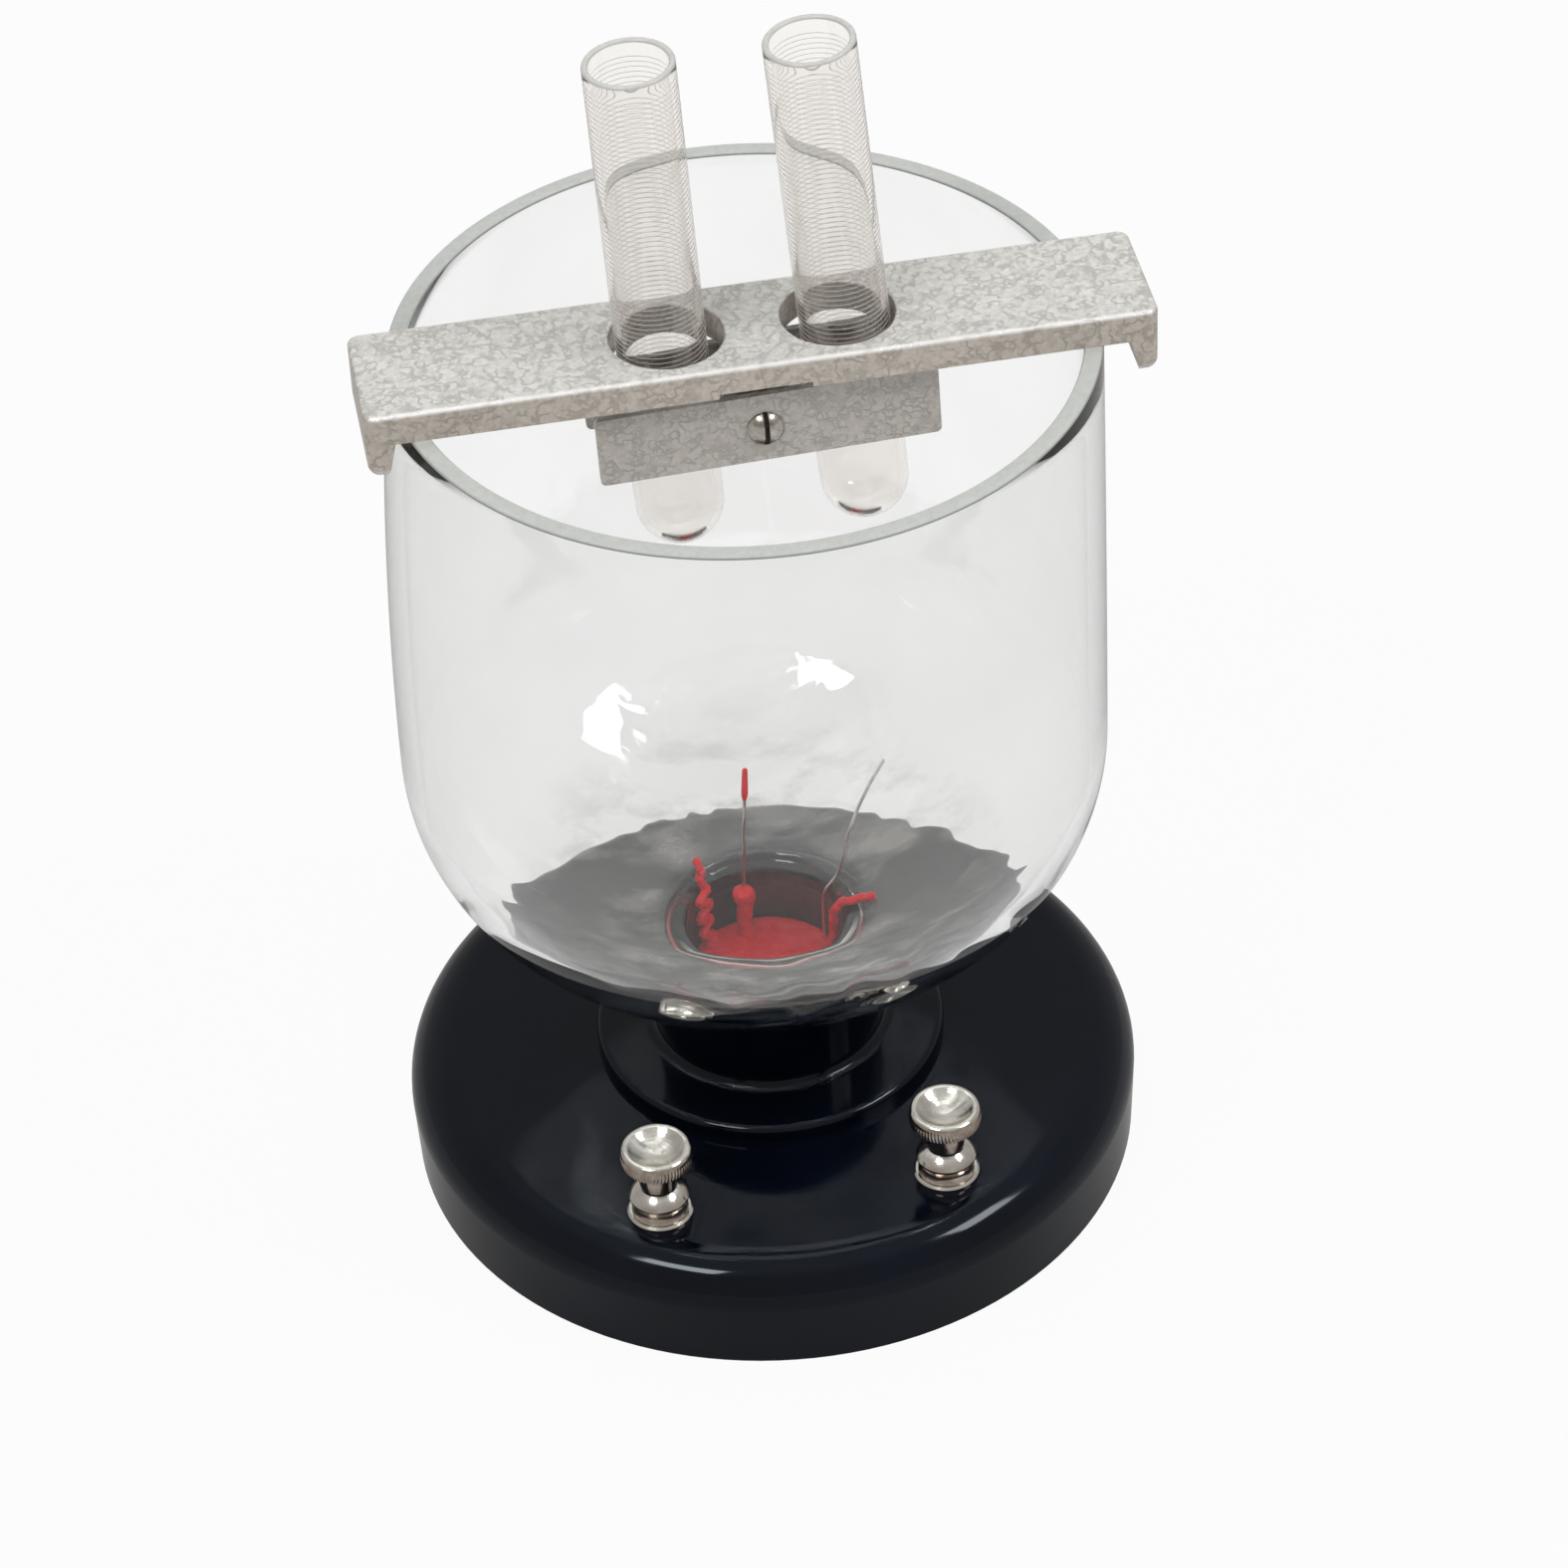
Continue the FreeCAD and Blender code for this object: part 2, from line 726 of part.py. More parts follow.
def make_collar(side):
    """The terminal's fixed collar: a waisted foot under a domed flange."""
    body = new_body(side + "_terminal_collar")
    height = d["flange_height"]
    edge = height * 0.55
    revolve(body, "collar", [
        (stud_bore, 0.0),
        (d["flange_radius"] - 0.3, 0.0),
        (d["waist_radius"], height * 0.28, height * 0.5, -1),
        (d["flange_radius"], edge, height * 0.5, -1),
        (d["flange_radius"], edge + height * 0.08),
        (d["knob_neck_radius"], height, d["flange_radius"], 1),
        (stud_bore, height),
    ])
    place(body, *terminals[side], collar_level)
    return body


def make_knob(side):
    """A necked knob with a knurled edge, a dished top and a blind bore for the stud."""
    body = new_body(side + "_terminal_knob")
    neck = d["knob_neck_height"]
    top = neck + d["knob_head"]
    corner = d["knob_corner_round"]
    depth = d["knob_dish_depth"]
    dish = (d["knob_dish_radius"] * d["knob_dish_radius"] + depth * depth) / (depth * 2.0)
    revolve(body, "knob", [
        (stud_bore, 0.0),
        (d["knob_neck_radius"], 0.0),
        (d["knob_neck_radius"], neck - corner),
        (d["knob_neck_radius"] + corner, neck, corner, -1),
        (d["knob_radius"] - corner, neck),
        (d["knob_radius"], neck + corner, corner, 1),
        (d["knob_radius"], top - corner),
        (d["knob_radius"] - corner, top, corner, 1),
        (d["knob_dish_radius"], top),
        (0.0, top - depth, dish, -1),
        (0.0, d["knob_bore_depth"]),
        (stud_bore, d["knob_bore_depth"]),
    ])
    groove = new_sketch(body, "knurl_profile", "XY_Plane", lift=neck + corner)
    outline(groove, [(d["knob_radius"] - d["knurl_depth"], 0.0),
                     (d["knob_radius"] + d["knurl_depth"], -d["knurl_depth"] * 1.5),
                     (d["knob_radius"] + d["knurl_depth"], d["knurl_depth"] * 1.5)])
    first = cut(body, "knurl_cut", groove, d["knob_head"] - corner * 2.0, reverse=True)
    copies_round(body, "knurl", first, d["knurl_count"])
    place(body, *terminals[side],
          collar_level + d["flange_height"] + d["knob_gap"])
    return body


def hexagon(sketch, flats):
    """A hexagon round the origin, with two of its flats across Y."""
    reach = flats / math.sqrt(3.0)
    half = flats / 2
    outline(sketch, [(reach, 0.0), (reach / 2, half), (-reach / 2, half),
                     (-reach, 0.0), (-reach / 2, -half), (reach / 2, -half)])


def make_nut(name, flats, bore, thick):
    body = new_body(name)
    sketch = new_sketch(body, "flats", "XY_Plane")
    hexagon(sketch, flats)
    ring(sketch, bore)
    pad(body, "nut", sketch, thick)
    return body


def make_terminal_nuts(side):
    """A nut under the base and a second one that holds the tag against it."""
    upper = plate_under - d["nut_thick"]
    levels = {"_terminal_nut": upper, "_terminal_locknut": upper - d["tag_thick"] - d["nut_thick"]}
    for name, level in levels.items():
        body = make_nut(side + name, d["nut_flats"], stud_bore, d["nut_thick"])
        place(body, *terminals[side], level)


def lead_run(side):
    """The level run from a terminal to its wire, as a heading and a length."""
    over = wires[side][0] - terminals[side][0]
    along = wires[side][1] - terminals[side][1]
    heading = math.degrees(math.atan2(along.number, over.number))
    return heading, root(over * over + along * along)


def make_tag(side):
    """A flat eyelet whose tail points along the lead."""
    body = new_body(side + "_terminal_tag")
    sketch = new_sketch(body, "eyelet", "XY_Plane")
    half = d["tag_width"] / 2
    radius = d["tag_radius"]
    tail = root(radius * radius - half * half)
    outline(sketch, [(tail, -half, radius, 1), (d["tag_length"], -half), (d["tag_length"], half),
                     (tail, half), (0.0, radius, radius, 1), (-radius, 0.0, radius, 1),
                     (0.0, -radius, radius, 1)])
    ring(sketch, stud_bore)
    pad(body, "tag", sketch, d["tag_thick"])
    place(body, *terminals[side],
          plate_under - d["nut_thick"] - d["tag_thick"], angle=lead_run(side)[0])
    return body


def make_lead(side):
    """An insulated wire: down from the electrode, one bend, level to under the tag's tail."""
    body = new_body(side + "_lead")
    heading, reach = lead_run(side)
    level = (plate_under - d["nut_thick"] - d["tag_thick"] - d["lead_radius"] - d["lead_gap"])
    start = d["nut_flats"] / 2 + d["lead_end_room"]
    sweep(body, "wire", [(reach, tail_level), (reach, level), (start, level)],
          [d["lead_bend"]], d["lead_radius"])
    place(body, *terminals[side], angle=heading)
    return body


def make_holder():
    """One casting: the bar, a hook at each end, two holes and a lug for the screw."""
    body = new_body("tube_holder")
    half = d["rim_radius"] + d["hook_play"] / 2 + d["hook_root"]
    root_x = half - d["hook_root"]
    tip_x = half - d["hook_tip"]
    corner = d["hook_corner_round"]
    drop = -d["hook_drop"]
    bar = new_sketch(body, "bar_profile")
    outline(bar, [
        (-root_x, 0.0),
        (root_x, 0.0),
        (tip_x, drop),
        (half - corner, drop),
        (half, drop + corner, corner, 1),
        (half, d["bar_thick"]),
        (-half, d["bar_thick"]),
        (-half, drop + corner),
        (-half + corner, drop, corner, 1),
        (-tip_x, drop),
    ])
    pad(body, "bar", bar, d["bar_width"], midplane=True)
    lug_half = d["lug_width"] / 2
    lug_y = grip_half - d["lug_relief"]
    lug_corner = d["lug_corner_round"]
    lug_top = d["bar_thick"] / 2
    lug = new_sketch(body, "lug_profile")
    outline(lug, [
        (-lug_half, lug_top),
        (-lug_half, -d["lug_drop"] + lug_corner),
        (-lug_half + lug_corner, -d["lug_drop"], lug_corner, 1),
        (lug_half - lug_corner, -d["lug_drop"]),
        (lug_half, -d["lug_drop"] + lug_corner, lug_corner, 1),
        (lug_half, lug_top),
    ])
    pad(body, "lug", lug, lug_y * 2.0, midplane=True)
    holes = new_sketch(body, "tube_holes", "XY_Plane", lift=-cut_room)
    hole_radius = d["tube_radius"] + d["hole_play"]
    ring(holes, hole_radius, -d["hole_spacing"] / 2)
    ring(holes, hole_radius, d["hole_spacing"] / 2)
    cut(body, "tube_hole_cut", holes, d["bar_thick"] + cut_room * 2.0, reverse=True)
    bore = new_sketch(body, "screw_bore")
    ring(bore, screw_bore, 0.0, -d["screw_drop"])
    cut(body, "screw_bore_cut", bore, midplane=True)
    relief = new_sketch(body, "relief_profile", "XY_Plane")
    front = -d["bar_width"] / 2
    relief_half = d["relief_width"] / 2
    outline(relief, [(-relief_half, front - cut_room), (relief_half, front - cut_room),
                     (relief_half, front + d["relief_back"]),
                     (-relief_half, front + d["relief_back"])])
    cut(body, "relief_cut", relief, d["relief_depth"], reverse=True)
    top_level = d["bar_thick"].number
    ends = half.number
    round_edges(body, "plan_corners", d["bar_corner_round"],
                lambda edge: is_upright(edge) and abs(abs(edge.Vertexes[0].X) - ends) < 0.01)
    round_edges(body, "top_edges", d["bar_edge_round"],
                lambda edge: is_level_at(edge, top_level) and not is_circle(edge, hole_radius))
    round_edges(body, "hole_edges", d["hole_edge_round"],
                lambda edge: is_level_at(edge, top_level) and is_circle(edge, hole_radius))
    place(body, bar_x, bar_y, rim_level)
    return body


def is_upright(edge):
    first, last = edge.Vertexes[0], edge.Vertexes[-1]
    level = abs(first.X - last.X) < 0.01 and abs(first.Y - last.Y) < 0.01
    return level and isinstance(edge.Curve, Part.Line)


def is_level_at(edge, level):
    box = edge.BoundBox
    return abs(box.ZMin - level) < 0.05 and abs(box.ZMax - level) < 0.05


def is_circle(edge, radius):
    return isinstance(edge.Curve, Part.Circle) and abs(edge.Curve.Radius - radius.number) < 0.02


def make_plate(name, tilt, reach):
    """A flat plate with rounded corners across the bar, its screw hole a little off centre."""
    body = new_body(name)
    left = d["plate_shift"] - d["plate_length"] / 2
    right = left + d["plate_length"]
    tall = d["plate_height"] / 2
    corner = d["plate_corner_round"]
    sketch = new_sketch(body, "face")
    outline(sketch, [
        (left + corner, -tall, corner, 1), (right - corner, -tall),
        (right, -tall + corner, corner, 1), (right, tall - corner),
        (right - corner, tall, corner, 1), (left + corner, tall),
        (left, tall - corner, corner, 1), (left, -tall + corner),
    ])
    ring(sketch, screw_bore)
    pad(body, "plate", sketch, d["plate_thick"])
    place(body, bar_x, bar_y + reach, screw_level, axis=(0, 1, 0), angle=-tilt)
    return body


def make_screw():
    """A round-headed screw along Y, its head to the front with a slot across it."""
    body = new_body("clamp_screw")
    shank = clamp_face * 2.0 + d["clamp_nut_thick"] + d["screw_past_nut"]
    radius = d["screw_radius"]
    head = d["head_radius"]
    height = d["head_height"]
    dome = height - d["head_rim"]
    head_round = (head * head + dome * dome) / (dome * 2.0)
    revolve(body, "shank_and_head", [
        (0.0, -shank), (radius * 0.8, -shank), (radius, -shank + radius * 0.3), (radius, 0.0),
        (head, 0.0), (head, d["head_rim"]), (0.0, height, head_round, 1),
    ])
    slot = new_sketch(body, "slot_profile", "XY_Plane", lift=height)
    wide = d["slot_width"] / 2
    past = head + cut_room
    outline(slot, [(-wide, -past), (wide, -past), (wide, past), (-wide, past)])
    cut(body, "slot", slot, d["slot_depth"])
    place(body, bar_x, bar_y - clamp_face, screw_level, axis=(1, 0, 0), angle=90.0)
    return body


def make_clamp_nut():
    body = make_nut("clamp_nut", d["clamp_nut_flats"], screw_bore, d["clamp_nut_thick"])
    place(body, bar_x, bar_y + clamp_face, screw_level, axis=(1, 0, 0), angle=-90.0)
    return body


def make_tube(side, lean):
    """A test tube with a half-round closed end, which leans in its hole in the bar."""
    body = new_body(side + "_test_tube")
    outside = d["tube_radius"]
    inside = outside - d["tube_wall"]
    revolve(body, "glass", [
        (0.0, 0.0),
        (outside, outside, outside, 1),
        (outside, d["tube_length"]),
        (inside, d["tube_length"]),
        (inside, outside),
        (0.0, d["tube_wall"], inside, -1),
    ])
    rim = [circle_at(outside, d["tube_length"]), circle_at(inside, d["tube_length"])]
    round_edges(body, "rim", d["tube_wall"] / 3, lambda edge: any(test(edge) for test in rim))
    apart = d["hole_spacing"] / 2 + d["tube_shift"]
    axis_x = bar_x - apart if side == "left" else bar_x + apart
    foot_x = axis_x + d["tube_reach"] * tangent(lean)
    place(body, foot_x, bar_y, rim_level + d["bar_thick"] - d["tube_reach"],
          axis=(0, 1, 0), angle=-lean)
    return body


make_base()
make_bowl()
make_cement()
make_bung()
make_wax()
make_left_electrode()
make_right_electrode()
make_wax_tip()
for terminal in terminals:
    make_stud(terminal)
    make_washer(terminal)
    make_collar(terminal)
    make_knob(terminal)
    make_terminal_nuts(terminal)
    make_tag(terminal)
    make_lead(terminal)
make_holder()
make_plate("front_clamp_plate", d["front_plate_tilt"], -grip_half)
make_plate("back_clamp_plate", d["back_plate_tilt"], clamp_face)
make_screw()
make_clamp_nut()
make_tube("left", d["left_tube_lean"])
make_tube("right", d["right_tube_lean"])
doc.recompute()

# Check every object, then write each node to its own file
for thing in doc.Objects:
    if "Invalid" in thing.State or "Error" in thing.State:
        raise RuntimeError("%s is in a bad state" % thing.Name)
nodes = [thing for thing in doc.Objects
         if thing.TypeId == "PartDesign::Body" or thing.TypeId == "Part::Feature"]
os.makedirs("parts", exist_ok=True)
for node in nodes:
    shape = node.Shape
    if shape.isNull() or not shape.isValid() or shape.Volume <= 0:
        raise RuntimeError("%s has a bad shape" % node.Label)
    shape.exportStep("parts/%s.step" % node.Label)
print("wrote %d nodes" % len(nodes))
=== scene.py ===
import math
import bpy
import numpy as np
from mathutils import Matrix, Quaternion, Vector


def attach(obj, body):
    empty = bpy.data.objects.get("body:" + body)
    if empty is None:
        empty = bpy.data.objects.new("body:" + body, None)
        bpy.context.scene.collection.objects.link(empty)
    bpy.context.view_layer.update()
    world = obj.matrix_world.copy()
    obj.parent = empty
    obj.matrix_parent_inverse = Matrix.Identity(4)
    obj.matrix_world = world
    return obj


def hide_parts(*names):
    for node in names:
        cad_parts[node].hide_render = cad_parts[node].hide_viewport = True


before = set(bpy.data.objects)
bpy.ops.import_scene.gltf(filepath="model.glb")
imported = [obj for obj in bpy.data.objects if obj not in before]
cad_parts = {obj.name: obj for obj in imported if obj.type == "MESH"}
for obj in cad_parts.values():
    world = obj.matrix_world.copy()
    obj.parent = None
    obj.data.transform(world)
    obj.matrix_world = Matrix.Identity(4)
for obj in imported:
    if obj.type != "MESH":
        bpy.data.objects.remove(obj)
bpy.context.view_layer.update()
print("frame loaded:", len(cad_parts), "nodes")

mm = 0.001  # shapes are worked out in millimetres and scaled once, in makePiece

# The camera stands in front, a little to the left, and looks down into the bowl
cameraValues = {
    "place": (-103.1, -730.3, 687.5),
    "aim": (4.68, -0.69, 76.57),
    "roll": -3.028,
    "lens": 125.41,
    "sensor": 36.0,
}


def makeCamera(values):
    data = bpy.data.cameras.new("photoCamera")
    camera = bpy.data.objects.new("photoCamera", data)
    bpy.context.scene.collection.objects.link(camera)
    place = Vector(values["place"]) * mm
    way = Vector(values["aim"]) * mm - place
    turn = way.to_track_quat("-Z", "Y")
    camera.rotation_mode = "QUATERNION"
    camera.rotation_quaternion = turn @ Quaternion((0, 0, 1), math.radians(values["roll"]))
    camera.location = place
    data.lens = values["lens"]
    data.sensor_width = values["sensor"]
    data.clip_start = 0.01
    data.clip_end = 20.0
    bpy.context.scene.camera = camera


makeCamera(cameraValues)


# A circle's arc: centre plus radius times the cosine and sine of evenly spaced angles
def arcPoints(centre, radius, fromDegrees, toDegrees, count):
    angle = np.radians(np.linspace(fromDegrees, toDegrees, count))
    return np.stack([centre[0] + radius * np.cos(angle), centre[1] + radius * np.sin(angle)], axis=1)


# A straight run of evenly spaced points between two corners, both corners kept
def linePoints(start, finish, count):
    share = np.linspace(0.0, 1.0, count)[:, None]
    return np.array(start) * (1 - share) + np.array(finish) * share


# The angle in degrees of the line from a centre to a point
def degreesOf(centre, point):
    return math.degrees(math.atan2(point[1] - centre[1], point[0] - centre[0]))


# Runs of points joined end to end, a point that repeats the one before it left out
def chain(*runs):
    points = np.vstack(runs)
    step = np.linalg.norm(np.diff(points, axis=0), axis=1)
    return points[np.concatenate([[True], step > 1e-5])]


# Faces of a grid of rows by columns: each quad joins two neighbours in both directions
def gridFaces(rows, columns, wrapRows=False, wrapColumns=False):
    row = np.arange(rows if wrapRows else rows - 1)
    column = np.arange(columns if wrapColumns else columns - 1)
    r, c = [a.ravel() for a in np.meshgrid(row, column, indexing="ij")]
    nextR, nextC = (r + 1) % rows, (c + 1) % columns
    return np.stack([r * columns + c, r * columns + nextC,
                     nextR * columns + nextC, nextR * columns + c], axis=1).tolist()


# Triangles from each point of one ring to a single point that closes it
def fanFaces(firstPoint, count, pole, flip):
    ring = np.arange(count)
    here, there = firstPoint + ring, firstPoint + (ring + 1) % count
    pair = [there, here] if flip else [here, there]
    return np.stack(pair + [np.full(count, pole)], axis=1).tolist()


# A profile of (radius, height) carried round an upright axis: the point at angle a is
# (radius cos a, radius sin a, height), which bend may move; an end on the axis is one point
def turned(profile, steps=96, bend=None):
    profile = np.asarray(profile, float)
    startsOnAxis = profile[0, 0] < 1e-6
    endsOnAxis = profile[-1, 0] < 1e-6
    inner = profile[int(startsOnAxis):len(profile) - int(endsOnAxis)]
    angle = np.linspace(0, 2 * np.pi, steps, endpoint=False)[None, :]
    radius = inner[:, 0:1] * np.ones_like(angle)
    height = inner[:, 1:2] * np.ones_like(angle)
    points = np.stack([radius * np.cos(angle), radius * np.sin(angle), height], axis=2)
    if bend is not None:
        points = bend(points, radius, height, angle)
    vertices = points.reshape(-1, 3)
    rows = len(inner)
    closed = not startsOnAxis and not endsOnAxis
    faces = gridFaces(rows, steps, wrapRows=closed, wrapColumns=True)
    for onAxis, row, end in ((startsOnAxis, 0, profile[0]), (endsOnAxis, rows - 1, profile[-1])):
        if onAxis:
            faces += fanFaces(row * steps, steps, len(vertices), flip=row == 0)
            vertices = np.vstack([vertices, [[0.0, 0.0, end[1]]]])
    return vertices, faces


# A smooth path: between two points a cubic whose slope at each joins that point's neighbours
def smoothPath(points, count):
    p = np.asarray(points, float)
    padded = np.vstack([2 * p[0] - p[1], p, 2 * p[-1] - p[-2]])
    slope = (padded[2:] - padded[:-2]) / 2
    t = np.linspace(0, len(p) - 1 - 1e-9, count)
    i = t.astype(int)
    u = (t - i)[:, None]
    return ((2 * u**3 - 3 * u**2 + 1) * p[i] + (u**3 - 2 * u**2 + u) * slope[i]
            + (3 * u**2 - 2 * u**3) * p[i + 1] + (u**3 - u**2) * slope[i + 1])


# A round bar along a path: at each point a circle square to the way there, radius given
# for each point; both ends close in a point a little past the last circle
def swept(path, radius, side=(0.0, 1.0, 0.0), sides=14):
    way = np.gradient(path, axis=0)
    way /= np.linalg.norm(way, axis=1, keepdims=True)
    across = np.cross(way, np.asarray(side, float)[None, :])
    across /= np.linalg.norm(across, axis=1, keepdims=True)
    over = np.cross(across, way)
    angle = np.linspace(0, 2 * np.pi, sides, endpoint=False)[None, :, None]
    size = (np.ones(len(path)) * radius)[:, None, None]
    rings = path[:, None, :] + size * (np.cos(angle) * across[:, None, :]
                                       + np.sin(angle) * over[:, None, :])
    rows = len(path)
    ends = [path[0] - way[0] * size[0, 0, 0] * 0.5, path[-1] + way[-1] * size[-1, 0, 0] * 0.5]
    vertices = np.vstack([rings.reshape(-1, 3), ends])
    faces = gridFaces(rows, sides, wrapColumns=True)
    faces += fanFaces(0, sides, rows * sides, flip=True)
    faces += fanFaces((rows - 1) * sides, sides, rows * sides + 1, flip=False)
    return vertices, faces


# Several closed shells as one list of points and one list of faces
def joined(*shells):
    vertices, faces, first = [], [], 0
    for points, quads in shells:
        vertices.append(points)
        faces += [[i + first for i in face] for face in quads]
        first += len(points)
    return np.vstack(vertices), faces


# The volume that the faces enclose: a sixth of the sum of a . (b x c) over their triangles
def signedVolume(vertices, faces):
    triangles = np.array([(f[0], f[k], f[k + 1]) for f in faces for k in range(1, len(f) - 1)])
    a, b, c = (vertices[triangles[:, k]] for k in range(3))
    return float(np.einsum("ij,ij->i", a, np.cross(b, c)).sum()) / 6


# Puts a shell into a mesh, faces outwards, and says what it rides on and stands for; the
# faces that chosen marks take the second material
def makePiece(name, shell, material, body, nodes=(), sharp=35.0,
              second=None, chosen=None):
    vertices, faces = shell
    if signedVolume(vertices, faces) < 0:
        faces = [face[::-1] for face in faces]
    mesh = bpy.data.meshes.new(name)
    mesh.from_pydata((vertices * mm).tolist(), [], faces)
    mesh.polygons.foreach_set("use_smooth", np.ones(len(faces), bool))
    mesh.set_sharp_from_angle(angle=math.radians(sharp))
    mesh.materials.append(material)
    if second is not None:
        mesh.materials.append(second)
        mesh.polygons.foreach_set("material_index", np.asarray(chosen, np.int32))
    mesh.update()
    piece = bpy.data.objects.new(name, mesh)
    bpy.context.scene.collection.objects.link(piece)
    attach(piece, body)
    if nodes:
        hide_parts(*nodes)
    return piece


def colour(r, g, b):
    return (r, g, b, 1.0)


# A shader node with its settings and its sockets' values
def addNode(tree, kind, settings=None, values=None):
    node = tree.nodes.new(kind)
    for key, value in (settings or {}).items():
        setattr(node, key, value)
    for key, value in (values or {}).items():
        node.inputs[key].default_value = value
    return node


# Links a socket to an input, or writes a plain number or colour in it
def feed(tree, value, socket):
    if isinstance(value, (int, float, tuple)):
        socket.default_value = value
    else:
        tree.links.new(value, socket)


def mathNode(tree, operation, first, second=None, clamp=False):
    node = addNode(tree, "ShaderNodeMath", {"operation": operation, "use_clamp": clamp})
    feed(tree, first, node.inputs[0])
    if second is not None:
        feed(tree, second, node.inputs[1])
    return node.outputs[0]


# A value carried from one range to another and held at the ends
def ranged(tree, value, low, high, toLow=0.0, toHigh=1.0, smooth=False):
    node = addNode(tree, "ShaderNodeMapRange",
                   {"interpolation_type": "SMOOTHSTEP" if smooth else "LINEAR"},
                   {"From Min": low, "From Max": high, "To Min": toLow, "To Max": toHigh})
    feed(tree, value, node.inputs["Value"])
    return node.outputs["Result"]


def mixColour(tree, share, first, second, blend="MIX"):
    node = addNode(tree, "ShaderNodeMix", {"data_type": "RGBA", "blend_type": blend})
    feed(tree, share, node.inputs[0])
    feed(tree, first, node.inputs[6])
    feed(tree, second, node.inputs[7])
    return node.outputs[2]


# Noise between 0 and 1, its scale in cells per metre
def noiseValue(tree, vector, scale, detail=3.0, roughness=0.5):
    node = addNode(tree, "ShaderNodeTexNoise", None,
                   {"Scale": scale, "Detail": detail, "Roughness": roughness})
    tree.links.new(vector, node.inputs["Vector"])
    return node.outputs["Fac"]


def newGroup(name, inputs, outputs):
    group = bpy.data.node_groups.new(name, "ShaderNodeTree")
    for label, kind, value in inputs:
        socket = group.interface.new_socket(name=label, in_out="INPUT", socket_type=kind)
        if value is not None:
            socket.default_value = value
    for label, kind in outputs:
        group.interface.new_socket(name=label, in_out="OUTPUT", socket_type=kind)
    start = group.nodes.new("NodeGroupInput")
    finish = group.nodes.new("NodeGroupOutput")
    return group, start, finish


# Smudges from handling: slow noise gives hazy patches and fine noise gives specks of dust
def makeHazeGroup():
    group, start, finish = newGroup("handledHaze", [
        ("Vector", "NodeSocketVector", None), ("Patch Scale", "NodeSocketFloat", 40.0),
        ("Speck Scale", "NodeSocketFloat", 900.0)],
        [("Haze", "NodeSocketFloat"), ("Specks", "NodeSocketFloat")])
    patches = addNode(group, "ShaderNodeTexNoise", None, {"Detail": 4.0, "Roughness": 0.6})
    specks = addNode(group, "ShaderNodeTexNoise", None, {"Detail": 2.0, "Roughness": 0.7})
    for node, label in ((patches, "Patch Scale"), (specks, "Speck Scale")):
        group.links.new(start.outputs["Vector"], node.inputs["Vector"])
        group.links.new(start.outputs[label], node.inputs["Scale"])
    haze = ranged(group, patches.outputs["Fac"], 0.38, 0.68, smooth=True)
    group.links.new(haze, finish.inputs["Haze"])
    group.links.new(ranged(group, specks.outputs["Fac"], 0.68, 0.76), finish.inputs["Specks"])
    return group


# Hammer finish: the paint draws up into soft lumps, and the creases between them are short
# curved lines, where a slow noise crosses its middle value, broken up by a second noise
def makeHammerGroup():
    group, start, finish = newGroup("hammerFinish", [
        ("Vector", "NodeSocketVector", None), ("Lump Scale", "NodeSocketFloat", 420.0),
        ("Pale", "NodeSocketColor", colour(0.75, 0.75, 0.73)),
        ("Dark", "NodeSocketColor", colour(0.16, 0.16, 0.15))],
        [("Color", "NodeSocketColor"), ("Roughness", "NodeSocketFloat"),
         ("Height", "NodeSocketFloat")])
    lumps = addNode(group, "ShaderNodeTexNoise", None, {"Detail": 1.5, "Roughness": 0.45})
    group.links.new(start.outputs["Vector"], lumps.inputs["Vector"])
    group.links.new(start.outputs["Lump Scale"], lumps.inputs["Scale"])
    offMiddle = mathNode(group, "ABSOLUTE", mathNode(group, "SUBTRACT", lumps.outputs["Fac"], 0.5))
    crown = ranged(group, offMiddle, 0.0, 0.12, smooth=True)
    breaks = ranged(group, noiseValue(group, start.outputs["Vector"], 420.0, 2.0), 0.46, 0.62)
    crown = mathNode(group, "MAXIMUM", crown, mathNode(group, "MULTIPLY", breaks, 0.8))
    fine = noiseValue(group, start.outputs["Vector"], 1150.0, 3.0, 0.7)
    slow = noiseValue(group, start.outputs["Vector"], 130.0, 2.0)
    light = mathNode(group, "MULTIPLY", ranged(group, crown, 0.0, 1.0, 0.2, 1.0),
                     ranged(group, fine, 0.33, 0.62, 0.5, 1.0))
    light = mathNode(group, "MULTIPLY", light, ranged(group, slow, 0.3, 0.7, 0.88, 1.0))
    tint = mixColour(group, light, start.outputs["Dark"], start.outputs["Pale"])
    group.links.new(tint, finish.inputs["Color"])
    group.links.new(ranged(group, fine, 0.3, 0.7, 0.3, 0.5), finish.inputs["Roughness"])
    group.links.new(mathNode(group, "ADD", crown, mathNode(group, "MULTIPLY", fine, 0.5)),
                    finish.inputs["Height"])
    return group


